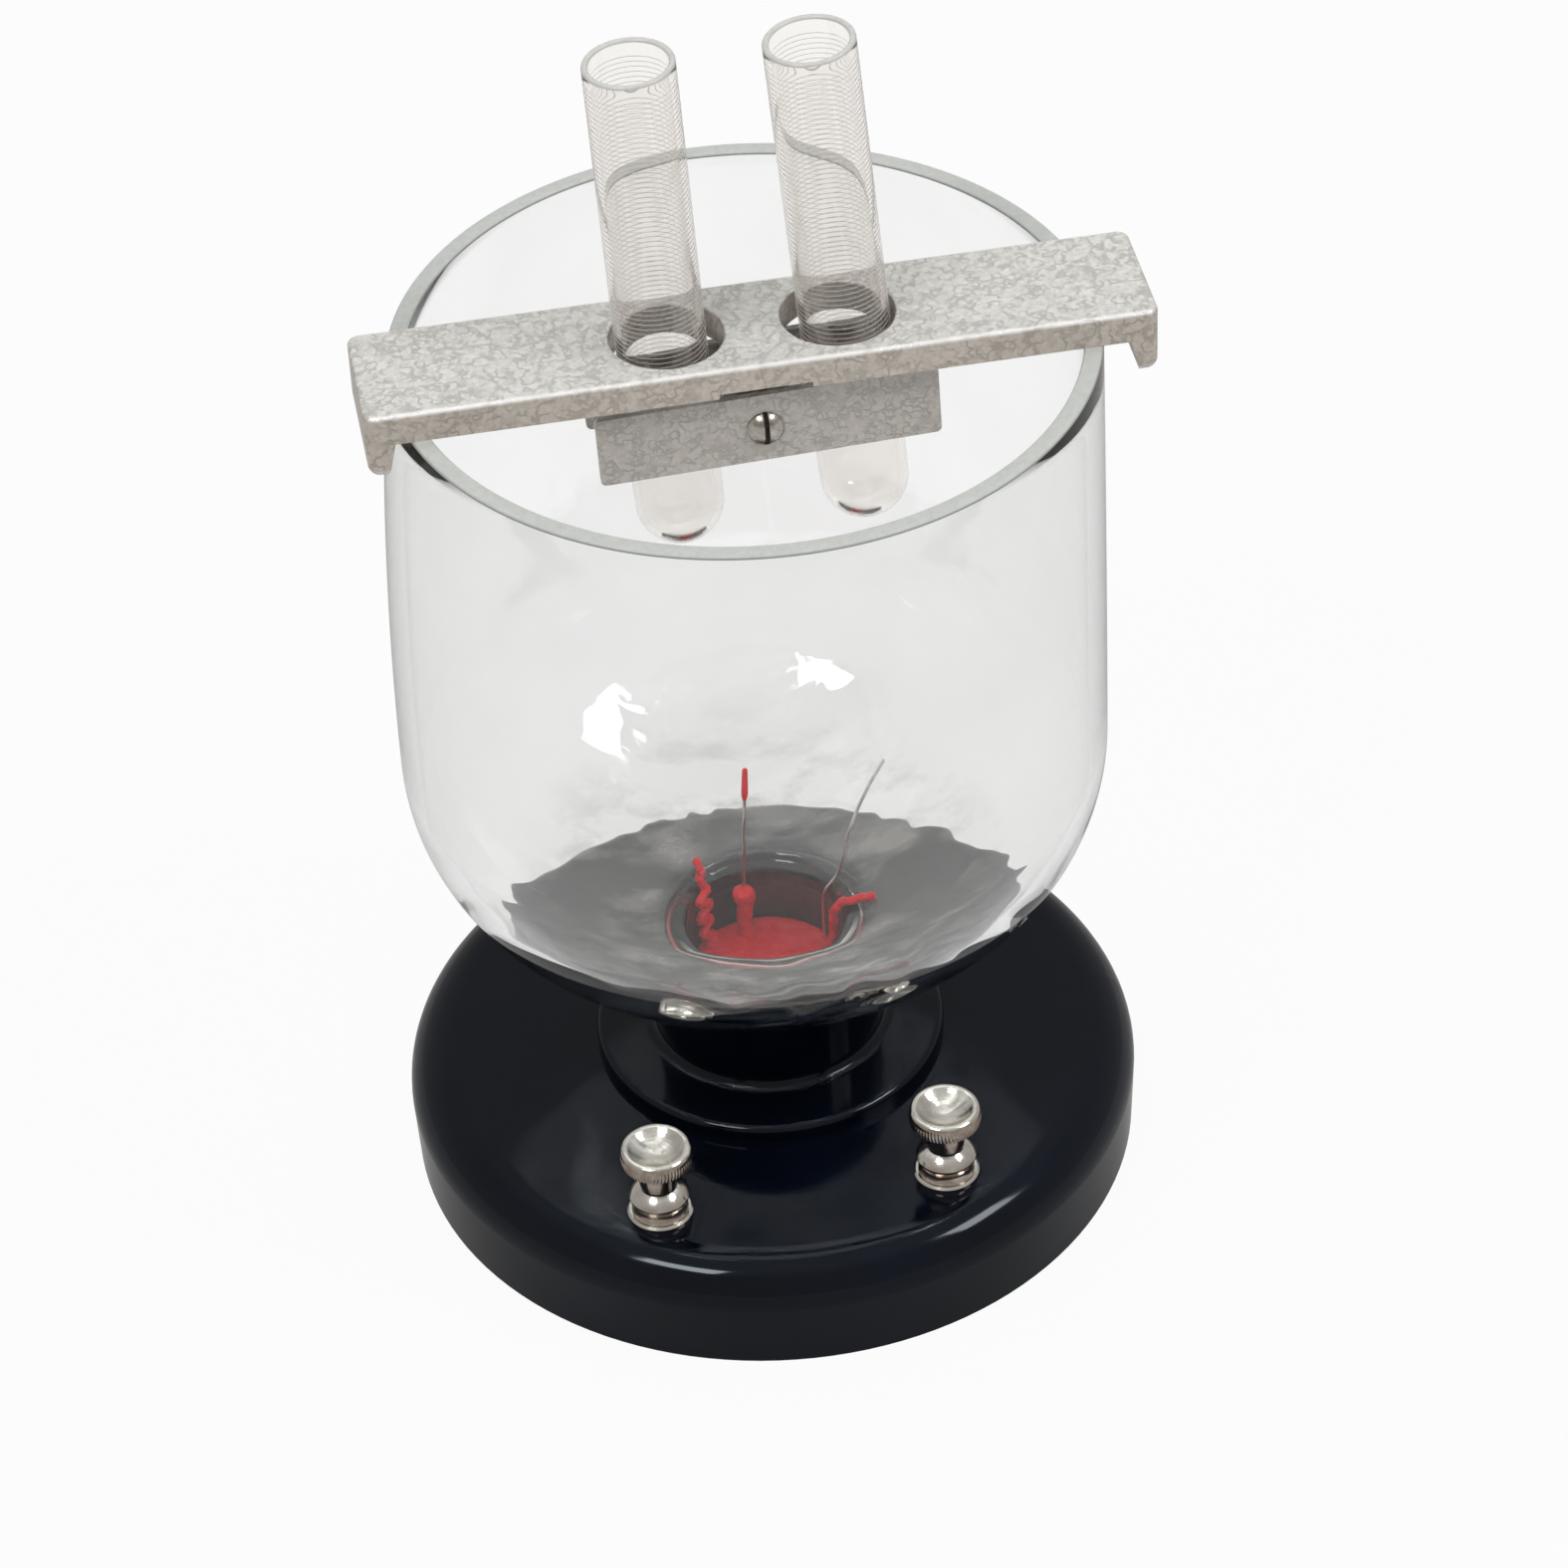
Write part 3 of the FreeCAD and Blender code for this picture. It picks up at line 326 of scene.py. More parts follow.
# Turning marks: the sine of the distance from an upright axis, a little uneven
def makeTurningGroup():
    group, start, finish = newGroup("turningMarks", [
        ("Vector", "NodeSocketVector", None), ("Centre", "NodeSocketVector", (0.0, 0.0, 0.0)),
        ("Pitch", "NodeSocketFloat", 0.00022)], [("Height", "NodeSocketFloat")])
    offset = addNode(group, "ShaderNodeVectorMath", {"operation": "SUBTRACT"})
    group.links.new(start.outputs["Vector"], offset.inputs[0])
    group.links.new(start.outputs["Centre"], offset.inputs[1])
    flat = addNode(group, "ShaderNodeVectorMath", {"operation": "MULTIPLY"})
    flat.inputs[1].default_value = (1.0, 1.0, 0.0)
    group.links.new(offset.outputs[0], flat.inputs[0])
    length = addNode(group, "ShaderNodeVectorMath", {"operation": "LENGTH"})
    group.links.new(flat.outputs[0], length.inputs[0])
    turns = mathNode(group, "DIVIDE", length.outputs["Value"], start.outputs["Pitch"])
    wobble = noiseValue(group, start.outputs["Vector"], 700.0, 2.0)
    phase = mathNode(group, "ADD", mathNode(group, "MULTIPLY", turns, 6.2832),
                     mathNode(group, "MULTIPLY", wobble, 3.0))
    group.links.new(mathNode(group, "SINE", phase), finish.inputs["Height"])
    return group


hazeGroup = makeHazeGroup()
hammerGroup = makeHammerGroup()
turningGroup = makeTurningGroup()


def newMaterial(name, shaderValues=None):
    material = bpy.data.materials.new(name)
    material.use_nodes = True
    tree = material.node_tree
    shader = tree.nodes["Principled BSDF"]
    for key, value in (shaderValues or {}).items():
        shader.inputs[key].default_value = value
    vector = addNode(tree, "ShaderNodeTexCoord").outputs["Object"]
    return material, tree, shader, vector


def placeGroup(tree, group, vector, values=None):
    node = addNode(tree, "ShaderNodeGroup", {"node_tree": group}, values)
    tree.links.new(vector, node.inputs["Vector"])
    return node


def addBump(tree, shader, height, distance, strength=1.0):
    bump = addNode(tree, "ShaderNodeBump", None, {"Distance": distance, "Strength": strength})
    tree.links.new(height, bump.inputs["Height"])
    tree.links.new(bump.outputs["Normal"], shader.inputs["Normal"])


# Glossy black moulding: two near blacks by the haze, pale specks of dust, a faint ripple
def makeMoulding():
    material, tree, shader, vector = newMaterial("blackMoulding", {
        "Specular IOR Level": 0.26, "Specular Tint": colour(0.84, 0.92, 1.0)})
    haze = placeGroup(tree, hazeGroup, vector, {"Patch Scale": 28.0, "Speck Scale": 4200.0})
    base = mixColour(tree, haze.outputs["Haze"], colour(0.001, 0.002, 0.005),
                     colour(0.002, 0.0035, 0.009))
    dusty = mathNode(tree, "MULTIPLY", haze.outputs["Specks"], 0.12)
    feed(tree, mixColour(tree, dusty, base, colour(0.12, 0.13, 0.16)), shader.inputs["Base Color"])
    feed(tree, ranged(tree, haze.outputs["Haze"], 0.0, 1.0, 0.07, 0.13), shader.inputs["Roughness"])
    addBump(tree, shader, noiseValue(tree, vector, 60.0, 2.0), 0.0004, 0.07)
    return material


# Clear glass with a faint tint, a trace of haze that softens what shows through it, and
# absorption in the glass itself, so that it is darker where it is seen edge on
def makeClearGlass(name, tint, inside, density):
    material, tree, shader, vector = newMaterial(name, {
        "IOR": 1.49, "Transmission Weight": 1.0, "Metallic": 0.0})
    haze = placeGroup(tree, hazeGroup, vector, {"Patch Scale": 25.0, "Speck Scale": 1400.0})
    darker = tuple(c * 0.97 for c in tint)
    feed(tree, mixColour(tree, haze.outputs["Haze"], colour(*tint), colour(*darker)),
         shader.inputs["Base Color"])
    feed(tree, ranged(tree, haze.outputs["Haze"], 0.0, 1.0, 0.0, 0.012), shader.inputs["Roughness"])
    body = addNode(tree, "ShaderNodeVolumeAbsorption", None,
                   {"Color": colour(*inside), "Density": density})
    tree.links.new(body.outputs["Volume"], tree.nodes["Material Output"].inputs["Volume"])
    return material


# Sealing wax: a cloudy red, smooth in some places and dull in others, with soft lumps
def makeWax():
    material, tree, shader, vector = newMaterial("sealingWax", {
        "Specular IOR Level": 0.25, "Coat Weight": 0.1, "Coat Roughness": 0.12})
    cloud = noiseValue(tree, vector, 260.0, 3.0)
    feed(tree, mixColour(tree, cloud, colour(0.8, 0.001, 0.008), colour(1.0, 0.008, 0.022)),
         shader.inputs["Base Color"])
    feed(tree, ranged(tree, cloud, 0.3, 0.7, 0.16, 0.34), shader.inputs["Roughness"])
    addBump(tree, shader, noiseValue(tree, vector, 420.0, 3.0), 0.0006, 0.5)
    return material


# 1 where the surface stands upright and 0 where it faces up or down
def uprightMask(tree):
    parts = addNode(tree, "ShaderNodeSeparateXYZ")
    tree.links.new(addNode(tree, "ShaderNodeNewGeometry").outputs["Normal"], parts.inputs[0])
    return ranged(tree, mathNode(tree, "ABSOLUTE", parts.outputs["Z"]), 0.75, 0.3, smooth=True)


# Nickel plate turned about an upright axis: fine rings, duller worn patches, and brown where
# the surface stands upright, partly grime and partly a painted reflection of brown surroundings
def makeNickel(name, centre, pitch, tint, dirtAndReflection):
    material, tree, shader, vector = newMaterial(name, {"Metallic": 1.0})
    rings = placeGroup(tree, turningGroup, vector, {"Pitch": pitch * mm})
    rings.inputs["Centre"].default_value = (centre[0] * mm, centre[1] * mm, 0.0)
    haze = placeGroup(tree, hazeGroup, vector, {"Patch Scale": 260.0, "Speck Scale": 3000.0})
    worn = tuple(c * 0.8 for c in tint)
    plate = mixColour(tree, haze.outputs["Haze"], colour(*tint), colour(*worn))
    stains = ranged(tree, noiseValue(tree, vector, 500.0, 3.0), 0.3, 0.6, 0.35, 1.0)
    # brown on upright faces: partly grime, partly painted reflection
    upright = mathNode(tree, "MULTIPLY", uprightMask(tree), stains)
    feed(tree, mixColour(tree, upright, plate, colour(*dirtAndReflection)), shader.inputs["Base Color"])
    feed(tree, ranged(tree, haze.outputs["Haze"], 0.0, 1.0, 0.1, 0.24), shader.inputs["Roughness"])
    addBump(tree, shader, rings.outputs["Height"], 0.000004, 0.6)
    return material


# A plain metal: its tint broken by slow stains, its roughness by fine grain
def makeMetal(name, tint, stain, low, high):
    material, tree, shader, vector = newMaterial(name, {"Metallic": 1.0})
    stains = ranged(tree, noiseValue(tree, vector, 300.0, 4.0), 0.45, 0.7)
    grain = noiseValue(tree, vector, 1400.0, 3.0, 0.6)
    feed(tree, mixColour(tree, stains, colour(*tint), colour(*stain)), shader.inputs["Base Color"])
    feed(tree, ranged(tree, grain, 0.3, 0.7, low, high), shader.inputs["Roughness"])
    addBump(tree, shader, grain, 0.00004, 0.4)
    return material


# The screw's metal, with painted shade in its driver slot: dark where a point stands nearer
# to the slot's middle plane than the slot is wide
def makeSlottedScrew(name, tint, stain, slotAcross, slotHalf):
    material, tree, shader, vector = newMaterial(name, {"Metallic": 1.0})
    grain = noiseValue(tree, vector, 1400.0, 3.0, 0.6)
    stains = ranged(tree, noiseValue(tree, vector, 380.0, 4.0), 0.4, 0.65)
    parts = addNode(tree, "ShaderNodeSeparateXYZ")
    tree.links.new(vector, parts.inputs[0])
    off = mathNode(tree, "ABSOLUTE", mathNode(tree, "SUBTRACT", parts.outputs["X"], slotAcross * mm))
    slotShade = ranged(tree, off, (slotHalf + 0.06) * mm, (slotHalf - 0.02) * mm)
    steel = mixColour(tree, stains, colour(*tint), colour(*stain))
    # painted shade: the slot's inside takes a near black in place of the steel
    feed(tree, mixColour(tree, slotShade, steel, colour(0.03, 0.026, 0.022)), shader.inputs["Base Color"])
    feed(tree, ranged(tree, grain, 0.3, 0.7, 0.2, 0.38), shader.inputs["Roughness"])
    addBump(tree, shader, grain, 0.00004, 0.4)
    return material


# A cast, rubbery or painted stuff: two near shades in clouds, and a grainy surface
def makePlain(name, first, second, low, high, scale, depth, alpha=1.0):
    material, tree, shader, vector = newMaterial(name, {"Alpha": alpha})
    cloud = noiseValue(tree, vector, scale, 4.0, 0.6)
    feed(tree, mixColour(tree, cloud, colour(*first), colour(*second)), shader.inputs["Base Color"])
    feed(tree, ranged(tree, cloud, 0.3, 0.7, low, high), shader.inputs["Roughness"])
    addBump(tree, shader, noiseValue(tree, vector, scale * 4, 3.0), depth * mm, 0.6)
    return material


# Ground glass of the rim: pale and grainy on its flat top; painted shade darkens the rounded edges
def makeGroundRim(name, pale, dark, top, depth):
    material, tree, shader, vector = newMaterial(name)
    parts = addNode(tree, "ShaderNodeSeparateXYZ")
    tree.links.new(vector, parts.inputs[0])
    grain = noiseValue(tree, vector, 900.0, 3.0, 0.65)
    # painted shade: low on the rounded edges the colour turns to the dark one
    level = ranged(tree, parts.outputs["Z"], (top - depth) * mm, (top - 0.12 * depth) * mm)
    light = mathNode(tree, "MULTIPLY", level, ranged(tree, grain, 0.3, 0.65, 0.8, 1.0))
    feed(tree, mixColour(tree, light, colour(*dark), colour(*pale)), shader.inputs["Base Color"])
    feed(tree, ranged(tree, grain, 0.3, 0.7, 0.35, 0.55), shader.inputs["Roughness"])
    addBump(tree, shader, grain, 0.00002, 0.5)
    return material


# What dried water leaves on glass: a pale veil that thins out upwards and towards the neck,
# with stretched streaks that are thicker towards the front, and a painted highlight along the
# front of the neck's lip for the glint of its thick glass
def makeWaterFilmAndGlint(name, v):
    material, tree, shader, vector = newMaterial(name, {"Specular IOR Level": 0.3})
    stretched = addNode(tree, "ShaderNodeMapping", None, {"Scale": v["stretch"]})
    tree.links.new(vector, stretched.inputs["Vector"])
    cloud = noiseValue(tree, stretched.outputs[0], v["streakScale"], 5.0, 0.6)
    parts = addNode(tree, "ShaderNodeSeparateXYZ")
    tree.links.new(vector, parts.inputs[0])
    across, level = parts.outputs["Y"], parts.outputs["Z"]

    # a smooth or plain step between two places, given in millimetres
    def fade(value, places, toLow, toHigh, smooth=True):
        return ranged(tree, value, places[0] * mm, places[1] * mm, toLow, toHigh, smooth)

    front = fade(across, v["frontPlaces"], v["streak"], v["frontStreak"])
    marks = mathNode(tree, "MULTIPLY", ranged(tree, cloud, 0.45, 0.68, smooth=True), front)
    thins = mathNode(tree, "MULTIPLY", fade(level, v["upperLevels"], 0.0, 1.0),
                     fade(level, v["lowerLevels"], 0.0, 1.0))
    veiled = mathNode(tree, "MULTIPLY", mathNode(tree, "ADD", marks, v["veil"]), thins)
    # painted highlight: a pale band along the front of the lip stands for the lip's glint
    lipGlintBand = mathNode(tree, "MULTIPLY", fade(level, v["lipGlintLevels"], 0.0, 1.0, smooth=False),
                     fade(across, v["lipGlintPlaces"], 0.0, v["lipGlint"]))
    paintedLipGlint = mathNode(tree, "MULTIPLY", lipGlintBand, ranged(tree, cloud, 0.3, 0.5, 0.5, 1.0))
    feed(tree, mathNode(tree, "MAXIMUM", veiled, paintedLipGlint), shader.inputs["Alpha"])
    feed(tree, mixColour(tree, cloud, colour(0.72, 0.72, 0.7), colour(0.86, 0.83, 0.78)),
         shader.inputs["Base Color"])
    feed(tree, ranged(tree, cloud, 0.3, 0.7, 0.3, 0.6), shader.inputs["Roughness"])
    return material


# How near a point lies to an edge line: each plane gives the axis, its middle and the half
# width to the edge, and the product of the planes' masks is 1 on the edge itself
def edgeMask(tree, vector, planes, width):
    parts = addNode(tree, "ShaderNodeSeparateXYZ")
    tree.links.new(vector, parts.inputs[0])
    near = 1.0
    for axis, middle, half in planes:
        off = mathNode(tree, "ABSOLUTE", mathNode(tree, "SUBTRACT", parts.outputs[axis], middle * mm))
        close = ranged(tree, off, (half - width) * mm, (half - width * 0.4) * mm)
        near = mathNode(tree, "MULTIPLY", close, near)
    return near


# Silver hammer paint, with painted shade that makes upright faces darker and browner, and worn
# bright along the edge lines that are given
def makeHammerPaint(name, pale, dark, uprightShade, lumpScale, edges=None):
    material, tree, shader, vector = newMaterial(name, {
        "Metallic": 0.25, "Coat Weight": 0.2, "Coat Roughness": 0.15})
    hammer = placeGroup(tree, hammerGroup, vector, {"Lump Scale": lumpScale})
    hammer.inputs["Pale"].default_value = colour(*pale)
    hammer.inputs["Dark"].default_value = colour(*dark)
    # painted shade: upright faces take the paint multiplied by the shade colour
    paint = mixColour(tree, mathNode(tree, "MULTIPLY", uprightMask(tree), 0.9),
                      hammer.outputs["Color"],
                      mixColour(tree, 1.0, hammer.outputs["Color"], colour(*uprightShade), "MULTIPLY"))
    if edges:
        chips = ranged(tree, noiseValue(tree, vector, 300.0, 3.0), 0.3, 0.5, 0.45, 1.0)
        worn = mathNode(tree, "MULTIPLY", edgeMask(tree, vector, edges, 0.9), chips)
        paint = mixColour(tree, worn, paint, colour(0.93, 0.92, 0.9))
    feed(tree, paint, shader.inputs["Base Color"])
    feed(tree, hammer.outputs["Roughness"], shader.inputs["Roughness"])
    addBump(tree, shader, hammer.outputs["Height"], 0.00014, 0.6)
    return material


nickelTint = (0.78, 0.76, 0.7)
nickelDirtAndReflection = (0.4, 0.31, 0.26)
terminalPlaces = {"left": (-27.5, -43.8), "right": (23.4, -45.0)}
barEdges = [(2, 171.5, 5.6), (1, -3.5, 12.3)]

moulding = makeMoulding()
bowlGlass = makeClearGlass("bowlGlass", (0.94, 0.94, 0.935), (0.45, 0.5, 0.48), 18.0)
tubeGlass = makeClearGlass("tubeGlass", (0.965, 0.95, 0.935), (0.6, 0.5, 0.42), 45.0)
sealingWax = makeWax()
barPaint = makeHammerPaint("barHammerPaint", (0.84, 0.83, 0.795), (0.47, 0.46, 0.43),
                           (0.8, 0.72, 0.66), 540.0, barEdges)
# painted shade: the clamp plates take the bar's hammer paint made darker, as they hang under it
shadedPlatePaint = makeHammerPaint("shadedPlateHammerPaint", (0.6, 0.58, 0.55), (0.38, 0.365, 0.345),
                             (0.97, 0.93, 0.9), 760.0)
screwSteel = makeSlottedScrew("screwSteel", (0.5, 0.48, 0.44), (0.28, 0.25, 0.21), 3.0, 0.4)
nutSteel = makeMetal("nutSteel", (0.5, 0.48, 0.44), (0.28, 0.25, 0.21), 0.2, 0.4)
wireMetal = makeMetal("electrodeWire", (0.75, 0.73, 0.7), (0.5, 0.45, 0.38), 0.25, 0.45)
brassMetal = makeMetal("fastenerBrass", (0.7, 0.53, 0.26), (0.35, 0.24, 0.12), 0.22, 0.45)
groundRim = makeGroundRim("groundRim", (0.53, 0.545, 0.52), (0.2, 0.22, 0.21), 171.5, 0.5)
tubeLip = makePlain("tubeLip", (0.52, 0.52, 0.49), (0.62, 0.61, 0.58), 0.2, 0.4, 700.0, 0.01)
markPaint = makePlain("tubeMarks", (0.86, 0.82, 0.77), (0.93, 0.9, 0.86), 0.5, 0.7, 900.0, 0.01,
                      alpha=0.55)
cementStuff = makePlain("bedCement", (0.03, 0.028, 0.028), (0.055, 0.05, 0.048), 0.7, 0.9, 400.0, 0.2)
bungRubber = makePlain("bungRubber", (0.03, 0.02, 0.02), (0.05, 0.03, 0.03), 0.5, 0.7, 300.0, 0.05)
leadSleeve = makePlain("leadSleeve", (0.35, 0.03, 0.03), (0.42, 0.05, 0.04), 0.3, 0.45, 350.0, 0.03)
nickel = {side: makeNickel(side + "Nickel", place, 0.22, nickelTint, nickelDirtAndReflection)
          for side, place in terminalPlaces.items()}
print("materials made:", len(bpy.data.materials))

# CAD nodes that keep their own shape get their finish here
nodeFinishes = {
    "base": moulding, "bowl_cement": cementStuff, "neck_stopper": bungRubber,
    "wax_tip": sealingWax, "tube_holder": barPaint, "front_clamp_plate": shadedPlatePaint,
    "back_clamp_plate": shadedPlatePaint, "clamp_screw": screwSteel, "clamp_nut": nutSteel,
}
for side in terminalPlaces:
    for part in ("washer", "collar", "knob"):
        nodeFinishes[side + "_terminal_" + part] = nickel[side]
    for part in ("stud", "nut", "locknut", "tag"):
        nodeFinishes[side + "_terminal_" + part] = brassMetal
    nodeFinishes[side + "_lead"] = leadSleeve
for nodeName, finish in nodeFinishes.items():
    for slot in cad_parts[nodeName].material_slots:
        slot.material = finish
print("finishes given to", len(nodeFinishes), "nodes")


knobValues = {
    "foot": 27.1, "height": 8.7, "boreRadius": 2.05, "boreDepth": 5.5, "neckRadius": 3.3,
    "headFoot": 5.0, "sideRadius": 6.25, "sideLow": 5.7, "sideHigh": 7.5, "rimTop": 5.55,
    "dishRadius": 4.95, "dishDepth": 1.95, "teeth": 62, "toothDepth": 0.13,
    "ringPitch": 0.62, "ringDepth": 0.005,
}


# A terminal's knob from its bore round the neck, the underside of the head, a side that
# swells a little, a rounded rim, and a dish whose depth falls with the square of the radius
def knobSection(v):
    side = np.linspace(0, 1, 14)
    swell = v["sideRadius"] + 0.12 * np.sin(np.pi * side)
    edgeX = v["rimTop"]
    corner = arcPoints((edgeX, v["sideHigh"]), v["sideRadius"] - edgeX, 0, 90, 8)
    corner[:, 1] = v["sideHigh"] + (corner[:, 1] - v["sideHigh"]) * (
        (v["height"] - v["sideHigh"]) / (v["sideRadius"] - edgeX))
    dish = np.linspace(v["dishRadius"], 0, 48)
    depth = v["dishDepth"] * (1 - (dish / v["dishRadius"]) ** 2)
    rings = v["ringDepth"] * np.sin(2 * np.pi * dish / v["ringPitch"]) * (dish < v["dishRadius"] - 0.3)
    return chain(
        linePoints((0.0, v["boreDepth"]), (v["boreRadius"], v["boreDepth"]), 2),
        linePoints((v["boreRadius"], v["boreDepth"]), (v["boreRadius"], 0.0), 3),
        linePoints((v["boreRadius"], 0.0), (v["neckRadius"] - 0.2, 0.0), 2),
        linePoints((v["neckRadius"], 0.2), (v["neckRadius"], v["headFoot"] - 1.2), 4),
        arcPoints((v["neckRadius"] + 1.2, v["headFoot"] - 1.2), 1.2, 180, 90, 7),
        linePoints((v["neckRadius"] + 1.2, v["headFoot"]), (v["sideRadius"] - 0.5, v["sideLow"] - 0.45), 3),
        linePoints((v["sideRadius"] - 0.2, v["sideLow"] - 0.2), (v["sideRadius"], v["sideLow"]), 2),
        np.stack([swell, v["sideLow"] + side * (v["sideHigh"] - v["sideLow"])], axis=1),
        corner,
        linePoints((edgeX, v["height"]), (v["dishRadius"] + 0.15, v["height"]), 2),
        np.stack([dish, v["height"] - 0.05 - depth + rings], axis=1))


# The knurl: on the side the radius falls with the sharpened cosine of the tooth's angle
def makeKnobs(v):
    for side, place in terminalPlaces.items():
        def knurl(points, radius, height, angle):
            onSide = np.clip((height - v["sideLow"]) / 0.3, 0, 1) * (
                np.clip((v["sideHigh"] + 0.35 - height) / 0.5, 0, 1)) * (radius > v["sideRadius"] - 0.3)
            groove = (0.5 - 0.5 * np.cos(v["teeth"] * angle)) ** 2
            shrink = 1 - v["toothDepth"] * onSide * groove / v["sideRadius"]
            points[..., 0] = points[..., 0] * shrink + place[0]
            points[..., 1] = points[..., 1] * shrink + place[1]
            points[..., 2] += v["foot"]
            return points

        vertices, faces = turned(knobSection(v), steps=v["teeth"] * 8, bend=knurl)
        vertices[-2:] += np.array([place[0], place[1], v["foot"]])
        makePiece(side + "Knob", (vertices, faces), nickel[side], side + "_knob",
                  [side + "_terminal_knob"], 40.0)


makeKnobs(knobValues)
print("knobs made")

bowlValues = {
    "foot": 26.0, "neckRadius": 17.0, "wall": 3.2, "neckRoot": 2.5, "neckLip": 3.0,
    "dishCentre": 114.28, "dishRound": 71.05, "shoulderCentre": (25.4, 90.13),
    "shoulderRound": 36.0, "radius": 61.4, "rimRadius": 59.1, "rimShift": 2.0, "rim": 171.5,
    "rimRound": 0.5, "ripple": 0.1,
}


# The bowl's section from its foot round the outside to the rim and back down the inside:
# neck, root round, dish arc, shoulder arc, wall, lip of the rim, and the same moved in
def bowlSection(v):
    centre, turn = (0.0, v["dishCentre"]), v["shoulderCentre"]
    out, wall = v["dishRound"], v["wall"]
    blend = degreesOf(centre, turn)
    bore = v["neckRadius"] - wall
    inner = out - wall
    # the root round touches the neck's side and the dish from below
    rootX = v["neckRadius"] + v["neckRoot"]
    rootZ = v["dishCentre"] - math.sqrt((out + v["neckRoot"]) ** 2 - rootX ** 2)
    rootCentre = (rootX, rootZ)
    rootEnd = degreesOf(rootCentre, centre)
    # the lip round touches the bore and the inside of the dish
    lipX = bore + v["neckLip"]
    lipZ = v["dishCentre"] - math.sqrt((inner + v["neckLip"]) ** 2 - lipX ** 2)
    lipCentre = (lipX, lipZ)
    lipEnd = degreesOf(lipCentre, centre)
    rim = v["rim"] - v["rimRound"]
    level = v["shoulderCentre"][1]
    outside = chain(
        linePoints((bore, v["foot"]), (v["neckRadius"], v["foot"]), 3),
        linePoints((v["neckRadius"], v["foot"]), (v["neckRadius"], rootZ), 8),
        arcPoints(rootCentre, v["neckRoot"], 180, rootEnd, 10),
        arcPoints(centre, out, degreesOf(centre, rootCentre), blend, 60),
        arcPoints(turn, v["shoulderRound"], blend, 0, 40),
        linePoints((v["radius"], level), (v["radius"], rim), 15),
        arcPoints((v["radius"] - v["rimRound"], rim), v["rimRound"], 0, 90, 5))
    inside = chain(
        arcPoints((v["radius"] - wall + v["rimRound"], rim), v["rimRound"], 90, 180, 5),
        linePoints((v["radius"] - wall, rim), (v["radius"] - wall, level), 15),
        arcPoints(turn, v["shoulderRound"] - wall, 0, blend, 40),
        arcPoints(centre, inner, blend, degreesOf(centre, lipCentre), 60),
        arcPoints(lipCentre, v["neckLip"], lipEnd, 180, 12),
        linePoints((bore, lipZ), (bore, v["foot"] + 0.5), 8))
    return np.vstack([outside, inside])


# Above the widest level the wall draws in and moves to +X with the square of the height, and
# below it the inside of hand-worked glass ripples: sines of angle and height, each pulled
# about by another, by a share of the ripple's size
def bendGlass(points, height, angle, rippleShare):
    v = bowlValues
    level = v["shoulderCentre"][1]
    share = np.clip((height - level) / (v["rim"] - level), 0, 1) ** 2
    grow = -(v["radius"] - v["rimRadius"]) * share
    low = np.clip((level - height) / 30.0, 0, 1) * np.clip((height - 47.5) / 4.0, 0, 1)
    pull = 1.3 * np.sin(3 * angle + height * 0.13) + 0.9 * np.sin(5 * angle - height * 0.09 + 2.0)
    wave = (np.sin(7 * angle + height * 0.21 + pull) + np.sin(16 * angle - height * 0.3 + 2 * pull)
            + 0.45 * np.sin(29 * angle + height * 0.45 + 1.7 * pull)
            + 0.14 * np.sin(47 * angle - height * 0.6 + 3 * pull))
    grow = grow + v["ripple"] * low * wave * rippleShare
    points[..., 0] += grow * np.cos(angle) + v["rimShift"] * share
    points[..., 1] += grow * np.sin(angle)
    return points


# The whole ripple on the inner surface and, weaker and turned over, a little on the outer one
def bendBowl(points, radius, height, angle):
    inside = np.arange(len(height))[:, None] > len(height) // 2
    return bendGlass(points, height, angle, np.where(inside, 1.0, -0.15))


# Marks the faces whose corners all stand at or above a level
def facesAbove(shell, level):
    vertices, faces = shell
    return [min(vertices[list(face), 2]) >= level for face in faces]


def makeBowl(v):
    shell = turned(bowlSection(v), steps=360, bend=bendBowl)
    ground = facesAbove(shell, v["rim"] - v["rimRound"] - 0.01)
    return makePiece("glassBowl", shell, bowlGlass, "stand", ["glass_bowl"], 50.0,
                     groundRim, ground)


makeBowl(bowlValues)

filmValues = {
    "radii": (16.3, 45.0), "gap": 0.05, "thick": 0.06,
    "veil": 0.08, "streak": 0.26, "frontStreak": 0.6, "lipGlint": 0.85,
    "stretch": (0.55, 1.3, 1.3), "streakScale": 105.0,
    "frontPlaces": (-12.0, -34.0), "lipGlintPlaces": (-4.0, -11.0),
    "upperLevels": (64.0, 52.0), "lowerLevels": (48.6, 49.7), "lipGlintLevels": (48.8, 48.65),
}


# The film and painted lip glint: two arcs of the dish's circle, a hair inside the glass, carried round
def makeFilmAndGlint(v, bowl):
    arcs = []
    for off in (v["gap"], v["gap"] + v["thick"]):
        size = bowl["dishRound"] - bowl["wall"] - off
        start, finish = (-math.degrees(math.acos(r / size)) for r in v["radii"])
        arcs.append(arcPoints((0.0, bowl["dishCentre"]), size, start, finish, 64))
    shell = turned(np.vstack([arcs[0], arcs[1][::-1]]), steps=240,
                   bend=lambda points, radius, height, angle: bendGlass(points, height, angle, 1.0))
    makePiece("driedFilmAndGlint", shell, makeWaterFilmAndGlint("driedWaterAndGlint", v), "stand")


makeFilmAndGlint(filmValues, bowlValues)
print("bowl made")

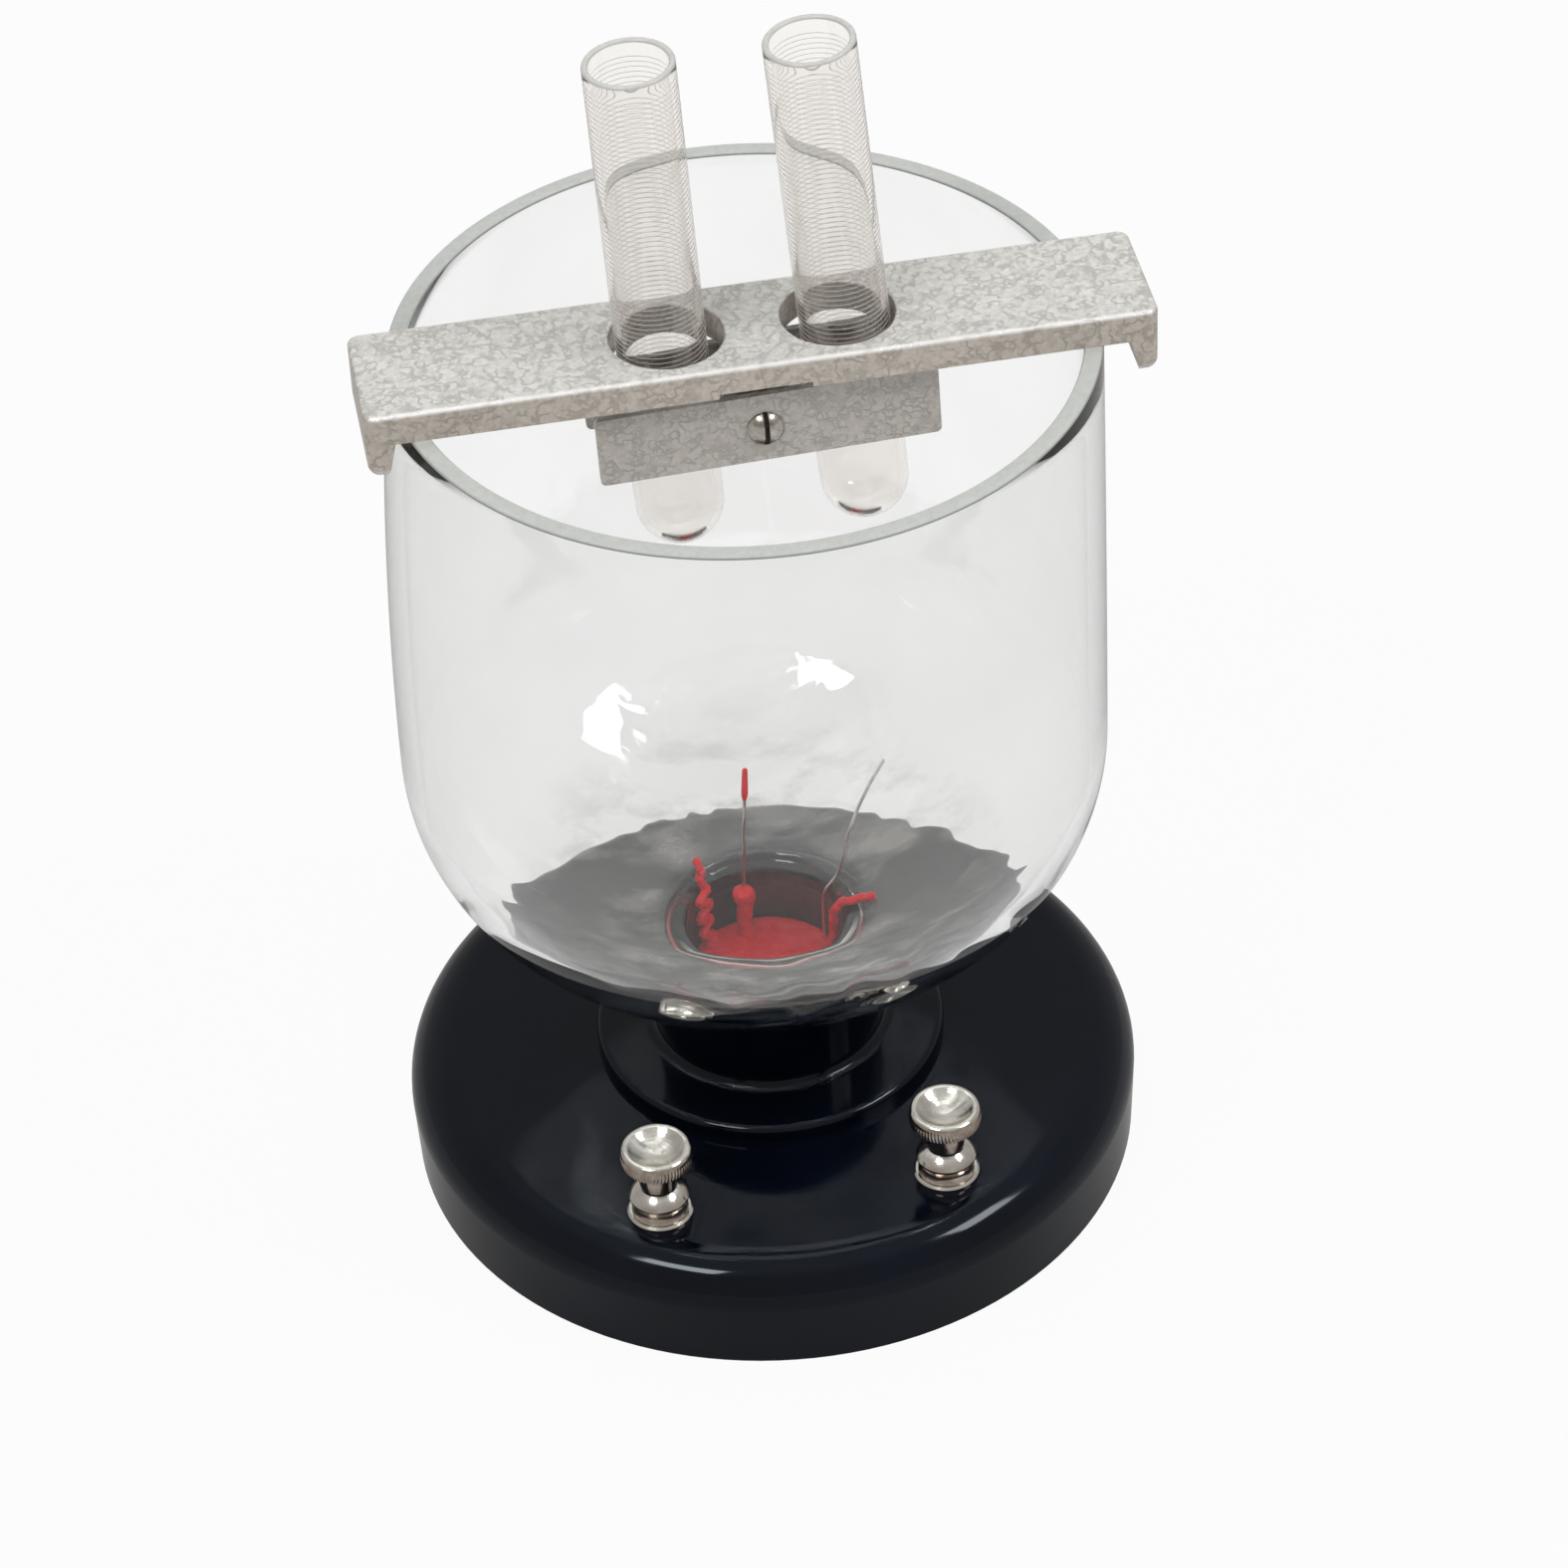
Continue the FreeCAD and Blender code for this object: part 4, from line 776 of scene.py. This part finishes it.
waxValues = {
    "under": 33.0, "thick": 2.0, "radius": 13.7, "dish": 140.0,
    "runRadius": 0.85, "runWaves": (1.8, 0.35), "runPitch": 3.7,
    "stubRadius": 1.75, "stubHeight": 11.2, "stubPlace": (-2.0, 10.9),
}
waxRuns = [
    [(-9.0, 7.9, 34.5), (-9.7, 8.3, 40.5), (-9.6, 8.3, 45.3), (-9.6, 9.2, 47.5),
     (-9.5, 11.4, 49.0), (-9.7, 14.5, 49.9)],
    [(12.0, 2.2, 34.5), (12.6, 1.2, 39.5), (12.6, 0.2, 45.2), (13.4, -0.3, 47.5),
     (15.3, -1.2, 49.0), (19.6, -2.4, 50.35)],
]


# The poured disc: its top is a dish, level + r^2 / (2 dish), with low swells that turn
# round the middle, and the edge creeps up the glass
def waxDisc(v):
    radii = np.linspace(0.0, v["radius"], 22)
    top = v["under"] + v["thick"] * 0.7 + radii ** 2 / (2 * v["dish"])
    top[-3:] += np.array([0.08, 0.3, 0.1])
    upper = np.stack([radii, top], axis=1)
    lower = np.array([[v["radius"], v["under"] + 0.2], [v["radius"] * 0.5, v["under"] + 0.1],
                      [0.0, v["under"] + 0.1]])

    def swell(points, radius, height, angle):
        share = np.clip(radius / v["radius"], 0, 1) * (1 - np.clip(radius / v["radius"], 0, 1)) * 4
        lift = 0.22 * np.sin(3 * angle + 0.7) + 0.16 * np.sin(5 * angle - 1.3 + radius * 0.4)
        points[..., 2] += share * lift * (height > v["under"] + 1.0)
        return points

    return turned(np.vstack([upper, lower]), steps=96, bend=swell)


# A run of wax: a smooth path that zigzags as it ran down, with a wave between a sine and a
# triangle's, the arcsine of a sine, and thicker at each turn
def waxRun(v, points, wave, seed):
    path = smoothPath(points, 120)
    length = np.concatenate([[0], np.cumsum(np.linalg.norm(np.diff(path, axis=0), axis=1))])
    phase = 2 * np.pi * length / v["runPitch"] + seed
    way = np.gradient(path, axis=0)
    way /= np.linalg.norm(way, axis=1, keepdims=True)
    outward = path * np.array([1.0, 1.0, 0.0])
    outward /= np.linalg.norm(outward, axis=1, keepdims=True)
    sideways = np.cross(way, outward)
    fade = np.clip(3 * np.sin(np.pi * np.linspace(0.02, 0.98, len(path))), 0, 1)
    zigzag = 0.64 * np.arcsin(0.97 * np.sin(phase))
    path = path + sideways * (wave * zigzag * fade)[:, None]
    radius = v["runRadius"] * (0.9 + 0.16 * np.abs(np.sin(phase)))
    radius *= np.linspace(1.1, 0.85, len(path))
    return swept(path, radius, side=(0.3, 0.9, 0.1), sides=16)


# The lump round the left wire: a post with rolls of wax on it, pinched in the middle, wider
# above and rounded off at its top, where its radius falls like a circle's
def waxStub(v):
    share = np.linspace(0, 1, 36)
    rolls = 0.12 * np.sin(share * 17.0 + 0.6)
    pinch = 1 - 0.2 * np.sin(np.pi * np.clip(share * 1.3, 0, 1)) + 0.3 * share ** 3
    roundOff = np.sqrt(np.clip(1 - np.clip((share - 0.86) / 0.14, 0, 1) ** 2, 0.02, 1))
    radii = (v["stubRadius"] * pinch + rolls) * roundOff
    heights = v["under"] + v["thick"] * 0.6 + share * v["stubHeight"]
    profile = np.vstack([[0.0, heights[0]], np.stack([radii, heights], axis=1),
                         [0.0, heights[-1] + 0.4]])

    def lean(points, radius, height, angle):
        rise = height - v["under"]
        points[..., 0] += v["stubPlace"][0] + 0.15 * np.sin(rise * 0.9)
        points[..., 1] += v["stubPlace"][1] + 0.12 * np.cos(rise * 1.3)
        return points

    vertices, faces = turned(profile, steps=28, bend=lean)
    vertices[-2:, :2] += np.array(v["stubPlace"])
    return vertices, faces


def makeWaxSeal():
    shells = [waxDisc(waxValues), waxStub(waxValues)]
    shells += [waxRun(waxValues, points, wave, 0.9 + 0.8 * k)
               for k, (points, wave) in enumerate(zip(waxRuns, waxValues["runWaves"]))]
    return makePiece("waxSeal", joined(*shells), sealingWax, "stand", ["sealing_wax"], 60.0)


makeWaxSeal()
print("wax made")

wireValues = {"radius": 0.3, "kink": 0.12}
wirePaths = {
    "left": [(-2.0, 10.9, 22.0), (-2.0, 10.9, 30.0), (-2.0, 10.9, 38.0), (-2.0, 10.9, 44.0),
             (-1.65, 10.9, 51.0), (-1.2, 10.9, 60.0), (-0.55, 10.9, 71.8)],
    "right": [(11.6, 5.2, 22.0), (11.6, 5.2, 32.0), (11.6, 5.2, 43.0), (12.1, 5.2, 46.6),
              (14.6, 5.2, 50.4), (16.3, 5.2, 56.7), (17.9, 5.2, 62.6), (20.6, 5.2, 68.9),
              (23.7, 5.2, 74.8)],
}


# A drawn wire bent by hand: a smooth path with slight kinks above the wax
def makeWires(v):
    for side, points in wirePaths.items():
        path = smoothPath(points, 160)
        free = np.clip((path[:, 2] - 50.0) / 8.0, 0, 1) * np.clip((73.0 - path[:, 2]) / 4.0, 0, 1)
        path[:, 1] += v["kink"] * free * np.sin(path[:, 2] * 0.9)
        path[:, 0] += v["kink"] * 0.6 * free * np.sin(path[:, 2] * 0.6 + 1.0)
        shell = swept(path, v["radius"], side=(0.0, 1.0, 0.0), sides=12)
        makePiece(side + "Wire", shell, wireMetal, "stand", [side + "_electrode"], 60.0)


makeWires(wireValues)
print("wires made")

tubeValues = {
    "radius": 7.5, "wall": 1.1, "length": 93.5, "reach": 40.8, "holderTop": 177.0, "back": -3.5,
    "axes": {"left": -12.2, "right": 18.2}, "leans": {"left": 2.4, "right": 4.1},
    "markPitch": 0.95, "markLow": 33.0, "markHigh": 90.4, "markWidth": 0.1, "markProud": 0.03,
}


# A tube's own upright line laid over by its lean about the line through the bar's top
def leaned(v, side, vertices):
    lean = math.radians(v["leans"][side])
    foot = np.array([v["axes"][side] + v["reach"] * math.tan(lean), v["back"],
                     v["holderTop"] - v["reach"]])
    turn = np.array([[math.cos(lean), 0, -math.sin(lean)], [0, 1, 0],
                     [math.sin(lean), 0, math.cos(lean)]])
    return vertices @ turn.T + foot


# The test tube's section: a half-round closed end, the wall, a rounded mouth, and back inside
def tubeSection(v):
    out, inner = v["radius"], v["radius"] - v["wall"]
    lip = v["wall"] / 2
    return chain(
        arcPoints((0.0, out), out, -90, 0, 32),
        linePoints((out, out), (out, v["length"] - lip), 60),
        arcPoints((out - lip, v["length"] - lip), lip, 0, 180, 12),
        linePoints((inner, v["length"] - lip), (inner, out), 60),
        arcPoints((0.0, out), inner, 0, -90, 32))


# The divisions: thin bands all the way round the tube, each a closed section of four corners
def tubeMarks(v):
    inner, outer = v["radius"] - 0.05, v["radius"] + v["markProud"]
    shells = []
    for level in np.arange(v["markLow"], v["markHigh"], v["markPitch"]):
        low, high = level - v["markWidth"] / 2, level + v["markWidth"] / 2
        shells.append(turned([[inner, low], [outer, low], [outer, high], [inner, high]], steps=96))
    return joined(*shells)


def makeTubes(v):
    for side in ("left", "right"):
        vertices, faces = turned(tubeSection(v), steps=128)
        mouth = facesAbove((vertices, faces), v["length"] - v["wall"] / 2 - 0.01)
        shell = (leaned(v, side, vertices), faces)
        makePiece(side + "Tube", shell, tubeGlass, side + "_tube", [side + "_test_tube"],
                  50.0, tubeLip, mouth)
        vertices, faces = tubeMarks(v)
        marks = (leaned(v, side, vertices), faces)
        makePiece(side + "TubeMarks", marks, markPaint, side + "_tube")


makeTubes(tubeValues)
print("tubes made")

stageValues = {
    "floorHalf": 6.0,
    "floorColour": (0.56, 0.56, 0.55),
    "floorWhite": 0.94, "floorGloss": 0.45, "glossColour": (0.42, 0.41, 0.4),
    "skyLight": 0.5, "wallGloss": (0.42, 0.4, 0.385), "topGloss": (0.6, 0.61, 0.59),
    "lamps": {
        "rightWindow": {"place": (0.72, -0.34, 0.93), "aim": (0, 0, 0.09), "size": (0.36, 0.25),
                        "power": 3.6},
        "leftWindow": {"place": (-0.5, -0.47, 1.01), "aim": (0, 0, 0.09), "size": (0.38, 0.2),
                       "power": 3.6},
        "topSoft": {"place": (-0.15, 0.45, 1.6), "aim": (0, 0, 0.1), "size": (1.7, 1.2),
                    "power": 6.5, "mirrored": False},
    },
}


# The floor is all but white where the camera or glass sees it bare, and keeps the shadow: a
# share of plain white light laid over the lit surface for those rays, and of grey for gloss
def makeFloor(v):
    half = v["floorHalf"]
    mesh = bpy.data.meshes.new("stageFloor")
    mesh.from_pydata([(-half, -half, 0), (half, -half, 0), (half, half, 0), (-half, half, 0)],
                     [], [(0, 1, 2, 3)])
    floor = bpy.data.objects.new("stageFloor", mesh)
    bpy.context.scene.collection.objects.link(floor)
    material, tree, shader, vector = newMaterial("stageFloor", {
        "Roughness": 0.95, "Specular IOR Level": 0.0})
    feed(tree, mixColour(tree, noiseValue(tree, vector, 3.0), colour(*v["floorColour"]),
                         colour(*(c * 1.02 for c in v["floorColour"]))), shader.inputs["Base Color"])
    path = addNode(tree, "ShaderNodeLightPath")
    bare = mathNode(tree, "ADD", path.outputs["Is Camera Ray"], path.outputs["Is Transmission Ray"],
                    clamp=True)
    share = mathNode(tree, "ADD", mathNode(tree, "MULTIPLY", bare, v["floorWhite"]),
                     mathNode(tree, "MULTIPLY", path.outputs["Is Glossy Ray"], v["floorGloss"]))
    white = addNode(tree, "ShaderNodeEmission")
    feed(tree, mixColour(tree, bare, colour(*v["glossColour"]), colour(1.0, 1.0, 1.0)),
         white.inputs["Color"])
    over = addNode(tree, "ShaderNodeMixShader")
    feed(tree, share, over.inputs[0])
    tree.links.new(shader.outputs[0], over.inputs[1])
    tree.links.new(white.outputs[0], over.inputs[2])
    tree.links.new(over.outputs[0], tree.nodes["Material Output"].inputs["Surface"])
    mesh.materials.append(material)


def makeLamps(v):
    for name, lamp in v["lamps"].items():
        data = bpy.data.lights.new(name, "AREA")
        data.shape = "RECTANGLE"
        data.size, data.size_y = lamp["size"]
        data.energy = lamp["power"]
        light = bpy.data.objects.new(name, data)
        bpy.context.scene.collection.objects.link(light)
        light.location = lamp["place"]
        light.visible_glossy = lamp.get("mirrored", True)
        way = Vector(lamp["aim"]) - light.location
        light.rotation_euler = way.to_track_quat("-Z", "Y").to_euler()


# The world lights softly; the camera and glass see it white, and gloss sees it white
# overhead, fading to grey walls lower down
def makeWorld(v):
    world = bpy.data.worlds.new("studioWorld")
    bpy.context.scene.world = world
    world.use_nodes = True
    tree = world.node_tree
    shade = tree.nodes["Background"]
    path = addNode(tree, "ShaderNodeLightPath")
    parts = addNode(tree, "ShaderNodeSeparateXYZ")
    tree.links.new(addNode(tree, "ShaderNodeTexCoord").outputs["Generated"], parts.inputs[0])
    overhead = ranged(tree, parts.outputs["Z"], 0.7, 0.95, smooth=True)
    gloss = mixColour(tree, overhead, colour(*v["wallGloss"]), colour(*v["topGloss"]))
    sky = colour(v["skyLight"], v["skyLight"], v["skyLight"])
    seen = mathNode(tree, "ADD", path.outputs["Is Camera Ray"], path.outputs["Is Transmission Ray"],
                    clamp=True)
    lit = mixColour(tree, path.outputs["Is Glossy Ray"], sky, gloss)
    feed(tree, mixColour(tree, seen, lit, colour(1.0, 1.0, 1.0)), shade.inputs["Color"])
    shade.inputs["Strength"].default_value = 1.0


makeFloor(stageValues)
makeLamps(stageValues)
makeWorld(stageValues)
bpy.context.scene.view_settings.view_transform = "Standard"
print("stage made")
